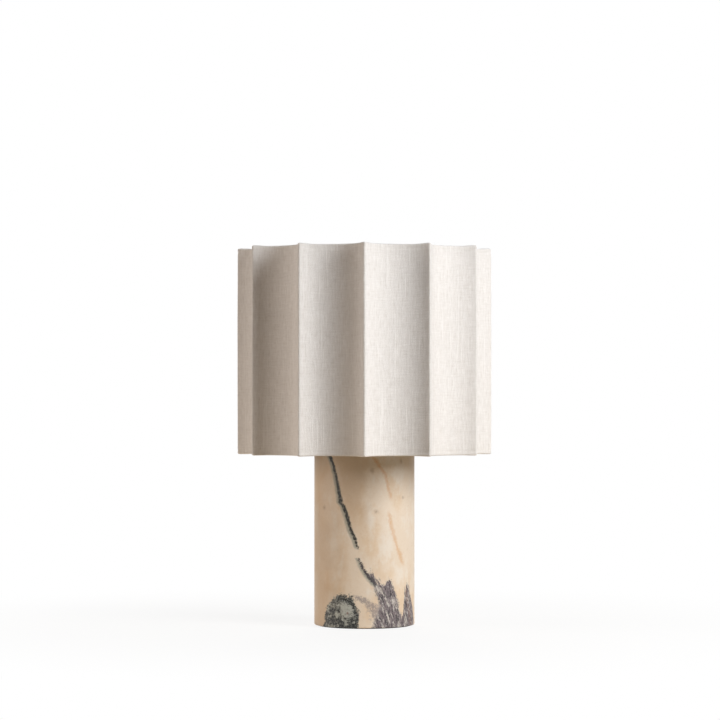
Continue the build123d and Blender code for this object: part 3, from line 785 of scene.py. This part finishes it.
@dataclass(frozen=True)
class Felt:
    """Pressed wool felt, its fibres lying every way."""

    ground: Colour = paint(58, 60, 58)
    dark: Colour = paint(34, 36, 35)
    pale: Colour = paint(92, 94, 90)
    ways: tuple[float, ...] = (0.3, 1.35, 2.5)
    bend: float = 0.012
    along_cells: float = 160.0
    beside_cells: float = 1500.0

    def material(self) -> bpy.types.Material:
        """Makes the felt's material.

        Returns:
            The material.
        """
        book = Recipe("felt")
        x, y, z = book.at().parts()
        bend = book.noise(book.at(), 90.0, 3.0) * self.bend
        strands = []
        for turn in self.ways:
            along = (x * cos(turn) + y * sin(turn) + bend) * self.along_cells
            beside = (y * cos(turn) - x * sin(turn) + bend) * self.beside_cells
            where = book.place(along, beside, z * self.beside_cells + turn)
            strands.append(book.noise(where, 1.0, 3.0, 0.6))
        fibres = strands[0].larger(strands[1]).larger(strands[2])
        nap = book.noise(book.at(), 800.0, 3.0, 0.7)
        colour = book.mix(self.dark, self.ground, nap.rise(0.35, 0.6))
        colour = colour.toward(self.pale, fibres.rise(0.56, 0.72) * 0.7)
        return book.surface(
            Base_Color=colour,
            Roughness=0.96,
            Sheen_Weight=0.3,
            Specular_IOR_Level=0.1,
            Normal=book.bump(fibres * 0.7 + nap * 0.3, 0.3 * MM, 0.8),
        )


@dataclass(frozen=True)
class Coating:
    """A finish without metal: moulded plastic, paint, card or glass."""

    name: str
    colour: Colour
    shade: Colour
    roughness: float = 0.5
    grain: float = 900.0
    depth: float = 0.03 * MM
    clear_coat: float = 0.0

    def material(self) -> bpy.types.Material:
        """Makes the coating's material.

        Returns:
            The material.
        """
        book = Recipe(self.name)
        where = book.at()
        grain = book.noise(where, self.grain, 3.0, 0.6)
        cloud = book.noise(where, 45.0, 2.0)
        colour = book.mix(self.colour, self.shade, cloud.rise(0.4, 0.75) * 0.6)
        colour = colour.toward(self.shade, grain.rise(0.5, 0.8) * 0.3)
        return book.surface(
            Base_Color=colour,
            Roughness=self.roughness - 0.04 + grain * 0.1,
            Coat_Weight=self.clear_coat,
            Normal=book.bump(grain, self.depth, 0.6),
        )


class Finish(Enum):
    """Every finish on the lamp."""

    LINEN = Linen()
    MARBLE = Marble()
    FELT = Felt()
    BRASS = Metal("brass", paint(206, 172, 106), paint(184, 146, 84), 0.3)
    BRASS_WIRE = Metal("brass_wire", paint(204, 170, 108), paint(176, 140, 84), 0.32, False)
    PLATED_STEEL = Metal("plated_steel", paint(190, 190, 186), paint(158, 158, 156), 0.34)
    SCREW_STEEL = Metal("screw_steel", paint(188, 188, 184), paint(150, 150, 148), 0.36, False)
    CUT_STEEL = Metal("cut_steel", paint(190, 190, 186), paint(158, 158, 156), 0.34, thread_pitch=0.94 * MM)
    CUT_BRASS = Metal(
        "cut_brass", paint(206, 172, 106), paint(184, 146, 84), 0.3,
        thread_pitch=0.94 * MM, thread_from=421.8 * MM,
    )
    ALUMINIUM = Metal("aluminium", paint(200, 202, 204), paint(172, 174, 176), 0.36)
    BLACK_PLASTIC = Coating("black_plastic", paint(28, 28, 28), paint(18, 18, 18), 0.42, 700.0)
    STYRENE = Coating("styrene", paint(244, 242, 236), paint(236, 232, 224), 0.38, 500.0, 0.02 * MM)
    WHITE_WIRE = Coating("white_wire", paint(236, 234, 228), paint(222, 218, 210), 0.4, 1400.0, 0.04 * MM)
    CARD = Coating("card", paint(176, 152, 118), paint(152, 128, 96), 0.85, 1200.0, 0.08 * MM)
    PHENOLIC = Coating("phenolic", paint(46, 36, 30), paint(32, 25, 21), 0.35, 800.0)
    OPAL = Coating("opal", paint(248, 247, 243), paint(240, 238, 232), 0.22, 300.0, 0.01 * MM, 0.4)
    LAMP_PLASTIC = Coating("lamp_plastic", paint(240, 239, 235), paint(230, 228, 222), 0.42, 800.0)

    def laid_on(self, piece: bpy.types.Object) -> None:
        """Gives a piece this finish alone.

        Args:
            piece: The piece.
        """
        name = self.name.lower()
        material = bpy.data.materials.get(name + "_finish")
        if material is None:
            material = self.value.material()
            material.name = name + "_finish"
        if not piece.data.materials:
            piece.data.materials.append(material)
        for slot in piece.material_slots:
            slot.material = material


# ---------------------------------------------------------------- sub-assemblies


def skinned(
    name: str,
    rings: Sequence[Sequence[Point]],
    flat_bands: Sequence[int] = (),
    laid_flat: Optional[tuple[Sequence[float], Sequence[float]]] = None,
) -> bpy.types.Object:
    """Joins rings of points into one closed skin, ring to ring and the last to the first.

    Args:
        name: The piece's name.
        rings: The rings, each with the same number of points.
        flat_bands: Numbers of the rings whose band of faces isn't smooth.
        laid_flat: For cloth, metres round it by point and along it by ring, each list one longer.

    Returns:
        The piece, in the scene.
    """
    build = bmesh.new()
    grid = [[build.verts.new(point) for point in ring] for ring in rings]
    cloth = build.loops.layers.uv.new("laid_flat") if laid_flat else None
    for row, ring in enumerate(grid):
        after = grid[(row + 1) % len(grid)]
        for column, corner in enumerate(ring):
            beside = (column + 1) % len(ring)
            face = build.faces.new((corner, ring[beside], after[beside], after[column]))
            face.smooth = row not in flat_bands
            if laid_flat:
                left, right = laid_flat[0][column:column + 2]
                low, high = laid_flat[1][row:row + 2]
                for loop, place in zip(face.loops, ((left, low), (right, low), (right, high), (left, high))):
                    loop[cloth].uv = place
    bmesh.ops.recalc_face_normals(build, faces=build.faces)
    mesh = bpy.data.meshes.new(name)
    build.to_mesh(mesh)
    build.free()
    piece = bpy.data.objects.new(name, mesh)
    bpy.context.scene.collection.objects.link(piece)
    return piece


@dataclass(frozen=True)
class FlutedOutline:
    """The shade seen from above: concave flutes that meet in folded ridges."""

    ridge_radius: float = 153.0 * MM
    flute_count: int = 12
    flute_depth: float = 17.5 * MM
    arc_steps: int = 22
    fold_steps: int = 6

    def drawn_out(self, by: float) -> "FlutedOutline":
        """The outline with its ridges further out and its flutes' bottoms where they were."""
        depth = self.flute_depth + by * cos(self.half_pitch)
        return replace(self, ridge_radius=self.ridge_radius + by, flute_depth=depth)

    @property
    def half_pitch(self) -> float:
        """Half the angle of a flute."""
        return pi / self.flute_count

    @property
    def flute_radius(self) -> float:
        """Radius of each flute's arc."""
        half_chord = self.ridge_radius * sin(self.half_pitch)
        return (half_chord**2 + self.flute_depth**2) / (2 * self.flute_depth)

    @property
    def flute_centre(self) -> float:
        """Distance from the lamp's axis to the centre of each arc."""
        return self.ridge_radius * cos(self.half_pitch) - self.flute_depth + self.flute_radius

    def fold_centre(self, inset: float) -> float:
        """Distance from the axis to where two arcs meet, for an outline that lies inset inside the face."""
        across = self.flute_centre * sin(self.half_pitch)
        return self.flute_centre * cos(self.half_pitch) - sqrt((self.flute_radius + inset) ** 2 - across**2)

    def flute(self, inset: float, fold: float) -> list[tuple[float, float]]:
        """One flute with half a fold at each end, as (distance, angle) from its middle.

        Args:
            inset: How far inside the linen's face.
            fold: Radius of the ridges.

        Returns:
            The points, from one ridge to just short of the next.
        """
        reach = self.fold_centre(inset + fold)
        beside = reach * sin(self.half_pitch)
        before = self.flute_centre - reach * cos(self.half_pitch)
        end = atan2(beside, before)
        radius = self.flute_radius + inset
        turn = self.half_pitch + end
        points = []
        for step in range(self.fold_steps):
            swing = turn * step / self.fold_steps
            points.append(self._on_fold(reach, fold, swing))
        for step in range(self.arc_steps + 1):
            angle = end * (1 - 2 * step / self.arc_steps)
            x = self.flute_centre - radius * cos(angle)
            y = -radius * sin(angle)
            points.append((hypot(x, y), atan2(y, x)))
        for step in range(1, self.fold_steps):
            swing = turn * (self.fold_steps - step) / self.fold_steps
            distance, angle = self._on_fold(reach, fold, swing)
            points.append((distance, -angle))
        return points

    def _on_fold(self, reach: float, fold: float, swing: float) -> tuple[float, float]:
        """Finds a point on a ridge's fold.

        Args:
            reach: Distance from the axis to the fold's centre.
            fold: Radius of the fold.
            swing: Angle from its crest towards the flute.

        Returns:
            The point, as (distance, angle) from the flute's middle.
        """
        ridge = -self.half_pitch
        x = reach * cos(ridge) + fold * cos(ridge + swing)
        y = reach * sin(ridge) + fold * sin(ridge + swing)
        return hypot(x, y), atan2(y, x)

    def ring(self, inset: float, fold: float) -> list[tuple[float, float]]:
        """Draws the whole outline, from the back ridge round to it again.

        Args:
            inset: How far inside the linen's face.
            fold: Radius of the ridges.

        Returns:
            The points, as (x, y).
        """
        flute = self.flute(inset, fold)
        points = []
        for number in range(self.flute_count):
            middle = pi / 2 + self.half_pitch * (2 * number + 1)
            points += [(d * cos(a + middle), d * sin(a + middle)) for d, a in flute]
        return points


@dataclass
class Shade:
    """The linen cover, folded at its ridges and turned in over the rings.

    Each wave of its slack is (turns round the shade, turn from foot to top, start, size).
    """

    outline: FlutedOutline = field(default_factory=FlutedOutline)
    bottom: float = 205.0 * MM
    top: float = 450.0 * MM
    cloth: float = 0.8 * MM
    ridge_fold: float = 2.0 * MM
    ridge_draw: float = 1.35 * MM
    ridge_lift: float = 1.1 * MM
    ridge_drop: float = 0.4 * MM
    lift_reach: float = 6.0 * MM
    rim_inset: float = 5.85 * MM
    rim_fold: float = 2.4 * MM
    rim_edge: float = 1.3 * MM
    turn_in: float = 9.0 * MM
    halfway_share: float = 0.55
    ring_height: float = 4.4 * MM
    ring_mark: float = 0.22 * MM
    ring_mark_reach: float = 1.2 * MM
    plain_from: float = 4.0 * MM
    slack: float = 0.25 * MM
    slack_waves: tuple[tuple[float, float, float, float], ...] = (
        (5.0, 7.0, 0.0, 0.5), (11.0, -9.0, 1.3, 0.3), (3.0, 17.0, 0.0, 0.2),
    )
    rows: int = 26
    rim_steps: int = 5
    hem_allowance: float = 20.0 * MM

    def build(self) -> bpy.types.Object:
        """Makes the linen cover in place of its plain solid.

        Returns:
            The linen cover.
        """
        cover = self._cover()
        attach(cover, "shade")
        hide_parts("shade_linen")
        around = 2 * self.outline.flute_count * self.outline.flute_radius * self._arc_end()
        Finish.LINEN.laid_on(cover)
        log.info("linen_cover: %d flutes, %.0f mm round", self.outline.flute_count, around / MM)
        return cover

    def _arc_end(self) -> float:
        """Half the angle that a flute's arc spans about its own centre."""
        beside = self.outline.ridge_radius * sin(self.outline.half_pitch)
        return atan2(beside, sqrt(self.outline.flute_radius**2 - beside**2))

    def _section(self) -> list[Point]:
        """Draws the cloth's section.

        Returns:
            Its points as (inset, height, run): up the face, over the rim, turned in, and back inside.
        """
        foot, head = self.bottom + self.ring_height, self.top - self.ring_height
        low, high = foot + self.plain_from, head - self.plain_from
        levels = [self.bottom + self.rim_edge, foot - self.ring_mark_reach, foot, foot + self.ring_mark_reach]
        levels += [low + (high - low) * step / self.rows for step in range(self.rows + 1)]
        levels += [head - self.ring_mark_reach, head, head + self.ring_mark_reach, self.top - self.rim_edge]
        path = [(self.ring_mark if level in (foot, head) else 0.0, level) for level in levels]
        over = self._rim()
        inside = (self.top - self.cloth, (self.top + self.bottom) / 2, self.bottom + self.cloth)
        path += over + [(self.cloth, level) for level in inside]
        path += [(inset, self.bottom + self.top - level) for inset, level in reversed(over)]
        section, run, before = [], 0.0, path[0]
        for inset, level in path:
            run += hypot(inset - before[0], level - before[1])
            section.append((inset, level, run))
            before = (inset, level)
        return section

    def _rim(self) -> list[tuple[float, float]]:
        """Draws the top rim: over the ring's rounded back, down inside it, round the cut edge and up again.

        Returns:
            The points, as (inset, height).
        """
        edge, top, outer, inner = self.rim_edge, self.top, self.rim_inset, self.rim_inset - self.cloth
        turns = [pi / 2 * step / self.rim_steps for step in range(self.rim_steps + 1)]
        path = [(edge * (1 - cos(turn)), top - edge * (1 - sin(turn))) for turn in turns[1:]]
        path += [(outer - edge * (1 - sin(turn)), top - edge * (1 - cos(turn))) for turn in turns]
        halfway, cut = top - self.turn_in * self.halfway_share, top - self.turn_in
        path += [(outer, halfway), (outer, cut), (inner, cut), (inner, halfway), (inner, top - self.cloth)]
        return path

    def _cover(self) -> bpy.types.Object:
        """Sweeps the section round the outline.

        Returns:
            The linen cover.
        """
        section = self._section()
        rings = []
        for inset, level, _ in section:
            share = inset / self.rim_inset
            fold = self.ridge_fold + (self.rim_fold - self.ridge_fold) * share
            draw = max(0.0, self.ridge_draw * min(1.0, 1.2 - share))
            if inset == self.cloth:
                fold, draw = self.ridge_fold - self.cloth, self.ridge_draw
            rings.append([(x, y, level) for x, y in self.outline.drawn_out(draw).ring(inset, fold)])
        around = [0.0]
        for here, after in zip(rings[0], rings[0][1:] + rings[0][:1]):
            around.append(around[-1] + hypot(after[0] - here[0], after[1] - here[1]))
        along = [run for _, _, run in section]
        along.append(along[-1] + 1 * MM)
        eased = [[self._eased(point) for point in ring] for ring in rings]
        return skinned("linen_cover", eased, laid_flat=(around, along))

    def _eased(self, point: Point) -> Point:
        """Moves a point of the cloth by the small unevenness of a hand-covered shade.

        Args:
            point: The place on the even shade.

        Returns:
            The place on the real one: slightly slack between the rims, and gathered up at each ridge's end.
        """
        x, y, z = point
        angle = atan2(y, x)
        share = min(1.0, max(0.0, (z - self.bottom) / (self.top - self.bottom)))
        ease = 1.0
        for turns, rise, start, size in self.slack_waves:
            ease += sin(turns * angle + rise * share + start) * size
        outward = 1 + self.slack * ease * sin(pi * share) / hypot(x, y)
        pitch = 2 * self.outline.half_pitch
        beside = (angle + pi / 2 + pitch / 2) % pitch - pitch / 2
        at_ridge = exp(-((beside * hypot(x, y) / self.lift_reach) ** 2))
        at_top = max(0.0, 1 - (self.top - z) / self.turn_in) ** 2
        at_foot = max(0.0, 1 - (z - self.bottom) / self.turn_in) ** 2
        z += at_ridge * (self.ridge_lift * at_top - self.ridge_drop * at_foot)
        return x * outward, y * outward, z


@dataclass(frozen=True)
class RolledShell:
    """A thin metal shell with a rolled lamp thread, fading out at both ends.

    With a floor_bore it keeps its floor, a ring as thick as the sheet with a hole of that radius.
    """

    node: str
    body: str
    bore: float
    outside: float
    bottom: float
    top: float
    floor_bore: float = 0.0
    sheet: float = 0.5 * MM
    depth: float = 0.5 * MM
    pitch: float = 3.62 * MM
    run_out: float = 2.2 * MM
    columns: int = 56
    rows_to_pitch: int = 9

    def build(self) -> bpy.types.Object:
        """Makes the shell in place of its plain solid.

        Returns:
            The threaded shell.
        """
        path = self._path()
        rings = [
            [self._point(level, radius, column) for column in range(self.columns)] for level, radius in path
        ]
        flat_bands = [row for row, (level, _) in enumerate(path) if level == path[(row + 1) % len(path)][0]]
        piece = skinned(self.node + "_rolled", rings, flat_bands)
        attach(piece, self.body)
        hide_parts(self.node)
        Finish.ALUMINIUM.laid_on(piece)
        log.info("%s: rolled thread over %d rings", self.node, len(path))
        return piece

    def _path(self) -> list[tuple[float, float]]:
        """Draws the shell's section: up the outside, down the inside and across its floor.

        Returns:
            The points, as (height, radius).
        """
        rows = round((self.top - self.bottom) / self.pitch * self.rows_to_pitch)
        levels = [self.bottom + (self.top - self.bottom) * row / rows for row in range(rows + 1)]
        path = [(level, self.outside - self.depth / 2) for level in levels]
        floor = self.bottom + self.sheet
        if self.floor_bore:
            levels = [floor] + [level for level in levels if level > self.bottom + 1.2 * self.sheet]
        path += [(level, self.bore + self.depth / 2) for level in reversed(levels)]
        if self.floor_bore:
            path += [(floor, self.floor_bore), (self.bottom, self.floor_bore)]
        return path

    def _point(self, level: float, radius: float, column: int) -> Point:
        """Finds a point of the shell, moved in or out by the thread.

        Args:
            level: Its height.
            radius: How far from the axis it lies without a thread.
            column: Its number round the shell.

        Returns:
            The place.
        """
        angle = 2 * pi * column / self.columns
        ends = min(level - self.bottom, self.top - level) / self.run_out
        full = min(1.0, max(0.0, ends)) if radius > self.bore else 0.0
        swell = cos(2 * pi * level / self.pitch - angle) * full
        reach = radius + swell * self.depth / 2
        return reach * cos(angle), reach * sin(angle), level


@dataclass
class Fittings:
    """The solid pieces whose shapes are already right, each with its own finish."""

    finishes: Mapping[Finish, tuple[str, ...]] = field(
        default_factory=lambda: {
            Finish.MARBLE: ("marble_column",),
            Finish.FELT: ("felt_pad",),
            Finish.BRASS: (
                "top_nut", "column_cap", "brass_neck", "holder_cap", "holder_shell", "finial", "bulb_contact",
            ),
            Finish.CUT_BRASS: ("harp_swivel",),
            Finish.CUT_STEEL: ("threaded_rod",),
            Finish.BRASS_WIRE: (
                "harp_saddle", "harp", "ferrule_left", "ferrule_right", "switch_shaft", "centre_contact",
            ),
            Finish.PLATED_STEEL: ("base_cover", "clamp_washer", "lock_washer", "foot_nut"),
            Finish.SCREW_STEEL: ("set_screw", "terminal_screws"),
            Finish.BLACK_PLASTIC: ("cord_gland", "switch_knob", "bulb_insulator"),
            Finish.STYRENE: ("shade_liner",),
            Finish.WHITE_WIRE: ("top_ring", "bottom_ring", "spider_arms", "spider_hub"),
            Finish.CARD: ("insulating_sleeve",),
            Finish.PHENOLIC: ("holder_block",),
            Finish.OPAL: ("bulb_globe",),
            Finish.LAMP_PLASTIC: ("bulb_collar",),
        }
    )

    rolled: tuple[RolledShell, ...] = (
        RolledShell("bulb_screw_cap", "bulb", 12.25 * MM, 13.0 * MM, 274.65 * MM, 298.65 * MM),
        RolledShell("screw_shell", "lamp", 13.1 * MM, 13.95 * MM, 266.75 * MM, 289.75 * MM, 6.0 * MM),
    )

    def dress(self, nodes: Mapping[str, bpy.types.Object]) -> None:
        """Rolls the threaded shells and lays each finish on its pieces.

        Args:
            nodes: The frame's solid pieces by name.
        """
        for shell in self.rolled:
            shell.build()
        for finish, names in self.finishes.items():
            for name in names:
                finish.laid_on(nodes[name])
                log.info("%s: %s", name, finish.name.lower())


# ---------------------------------------------------------------- studio


@dataclass(frozen=True)
class Softbox:
    """A large soft lamp, placed by its bearing from the front and its height above the horizon."""

    name: str
    bearing: float
    lift: float
    distance: float
    width: float
    tall: float
    power: float
    colour: Colour

    def set_up(self, target: Vector) -> None:
        """Aims the lamp at the target.

        Args:
            target: What it lights.
        """
        turn, rise = radians(self.bearing), radians(self.lift)
        toward = Vector((sin(turn) * cos(rise), -cos(turn) * cos(rise), sin(rise)))
        data = bpy.data.lights.new(self.name, "AREA")
        data.shape = "RECTANGLE"
        data.size, data.size_y = self.width, self.tall
        data.energy = self.power
        data.color = self.colour
        lamp = bpy.data.objects.new(self.name, data)
        lamp.location = target + toward * self.distance
        lamp.rotation_euler = (-toward).to_track_quat("-Z", "Y").to_euler()
        bpy.context.scene.collection.objects.link(lamp)


@dataclass
class Studio:
    """Camera, floor, soft lamps and the pale surroundings.

    The horizon and the lamp's axis are where the photograph shows them, in pixels from its top and left.
    """

    lens: float = 137.6
    sensor: float = 36.0
    image: int = 720
    stand_off: float = 3.3
    eye_height: float = 0.279
    horizon: float = 392.0
    lamp_axis: float = 364.4
    floor_radius: float = 6.0
    floor_opening: float = 56.0 * MM
    floor_sides: int = 96
    floor_white: float = 0.86
    white_reach: tuple[float, float] = (0.12, 0.7)
    bounce_reach: tuple[float, float] = (0.2, 0.6)
    aim_height: float = 0.26
    ambient: Colour = (1.0, 0.82, 0.66)
    ambient_strength: float = 0.035
    floor_colour: Colour = paint(244, 242, 238)
    table_bounce: Colour = paint(238, 218, 188)
    floor_bounce: Colour = paint(124, 104, 82)
    softboxes: tuple[Softbox, ...] = (
        Softbox("key", 50.0, 22.5, 2.2, 0.95, 1.15, 51.0, (0.966, 0.984, 1.0)),
        Softbox("left_fill", -84.0, 10.0, 2.4, 1.6, 1.5, 30.0, (1.0, 0.91, 0.835)),
        Softbox("under_fill", 0.0, -90.0, 1.6, 0.8, 0.8, 14.0, (1.0, 0.98, 0.96)),
        Softbox("back_fill", 180.0, 20.0, 2.6, 1.8, 1.4, 44.0, (1.0, 0.985, 0.965)),
    )

    def build(self) -> None:
        """Sets up everything round the lamp."""
        bpy.context.scene.view_settings.view_transform = "Standard"
        self._camera()
        self._floor()
        self._surroundings()
        for softbox in self.softboxes:
            softbox.set_up(Vector((0, 0, self.aim_height)))
        log.info("studio: %d softboxes", len(self.softboxes))

    def _camera(self) -> None:
        """Stands the camera at the photograph's distance, height and aim."""
        pixels = self.lens / self.sensor * self.image
        data = bpy.data.cameras.new("camera")
        data.lens, data.sensor_width = self.lens, self.sensor
        camera = bpy.data.objects.new("camera", data)
        camera.location = (0.0, -self.stand_off, self.eye_height)
        up = atan2(self.horizon - self.image / 2, pixels)
        left = atan2(self.lamp_axis - self.image / 2, pixels)
        camera.rotation_euler = (pi / 2 + up, 0.0, left)
        bpy.context.scene.collection.objects.link(camera)
        bpy.context.scene.camera = camera

    def _seen(self, book: Recipe) -> Field:
        """Tells what the camera sees, also in gloss and through glass, from all other light.

        Args:
            book: The recipe that it is drawn in.

        Returns:
            1 for the camera and 0 for other light.
        """
        path = book.node("ShaderNodeLightPath", {}, {})
        names = ("Is Camera Ray", "Is Glossy Ray", "Is Transmission Ray")
        camera, glossy, through = (Field(book, path.outputs[name]) for name in names)
        return camera.larger(glossy).larger(through)

    def _floor(self) -> None:
        """Lays a round floor that is open under the foot."""
        build = bmesh.new()
        turns = [2 * pi * step / self.floor_sides for step in range(self.floor_sides)]
        inner, outer = (
            [build.verts.new((radius * cos(turn), radius * sin(turn), 0.0)) for turn in turns]
            for radius in (self.floor_opening, self.floor_radius)
        )
        for number in range(self.floor_sides):
            beside = (number + 1) % self.floor_sides
            build.faces.new((inner[number], outer[number], outer[beside], inner[beside]))
        mesh = bpy.data.meshes.new("floor")
        build.to_mesh(mesh)
        build.free()
        floor = bpy.data.objects.new("floor", mesh)
        bpy.context.scene.collection.objects.link(floor)
        floor.data.materials.append(self._floor_finish())

    def _floor_finish(self) -> bpy.types.Material:
        """Makes the pale floor, which keeps the soft shadow and fades into the white background.

        Returns:
            The material.
        """
        book = Recipe("floor")
        x, y, _ = book.at().parts()
        away = (x * x + y * y) ** 0.5
        matt = book.node("ShaderNodeBsdfDiffuse", {}, {"Color": self.floor_colour})
        bounce = book.mix(self.table_bounce, self.floor_bounce, away.rise(*self.bounce_reach))
        dull = book.node("ShaderNodeBsdfDiffuse", {}, {"Color": bounce})
        glow = book.node("ShaderNodeEmission", {}, {"Color": (1.0, 1.0, 1.0), "Strength": 1.0})
        white = self.floor_white + away.rise(*self.white_reach) * (1 - self.floor_white)
        shown = book.node("ShaderNodeMixShader", {}, {0: white, 1: matt.outputs[0], 2: glow.outputs[0]})
        sides = {0: self._seen(book), 1: dull.outputs[0], 2: shown.outputs[0]}
        return book.shade(book.node("ShaderNodeMixShader", {}, sides).outputs[0])

    def _surroundings(self) -> None:
        """Makes the room: dim and warm to the lamp, white to the camera."""
        bpy.context.scene.world = bpy.data.worlds.new("room")
        book = Recipe("room", bpy.context.scene.world)
        ambient = {"Color": self.ambient, "Strength": self.ambient_strength}
        dim = book.node("ShaderNodeBackground", {}, ambient)
        white = book.node("ShaderNodeBackground", {}, {"Color": (1.0, 1.0, 1.0), "Strength": 1.0})
        sides = {0: self._seen(book), 1: dim.outputs[0], 2: white.outputs[0]}
        both = book.node("ShaderNodeMixShader", {}, sides)
        book.node("ShaderNodeOutputWorld", {}, {0: both.outputs[0]})


def main() -> None:
    """Dresses the lamp and sets up the studio round it."""
    logging.basicConfig(level=logging.INFO, format="%(name)s: %(message)s")
    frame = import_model()
    Fittings().dress(frame["nodes"])
    Shade().build()
    Studio().build()


if __name__ == "__main__":
    main()
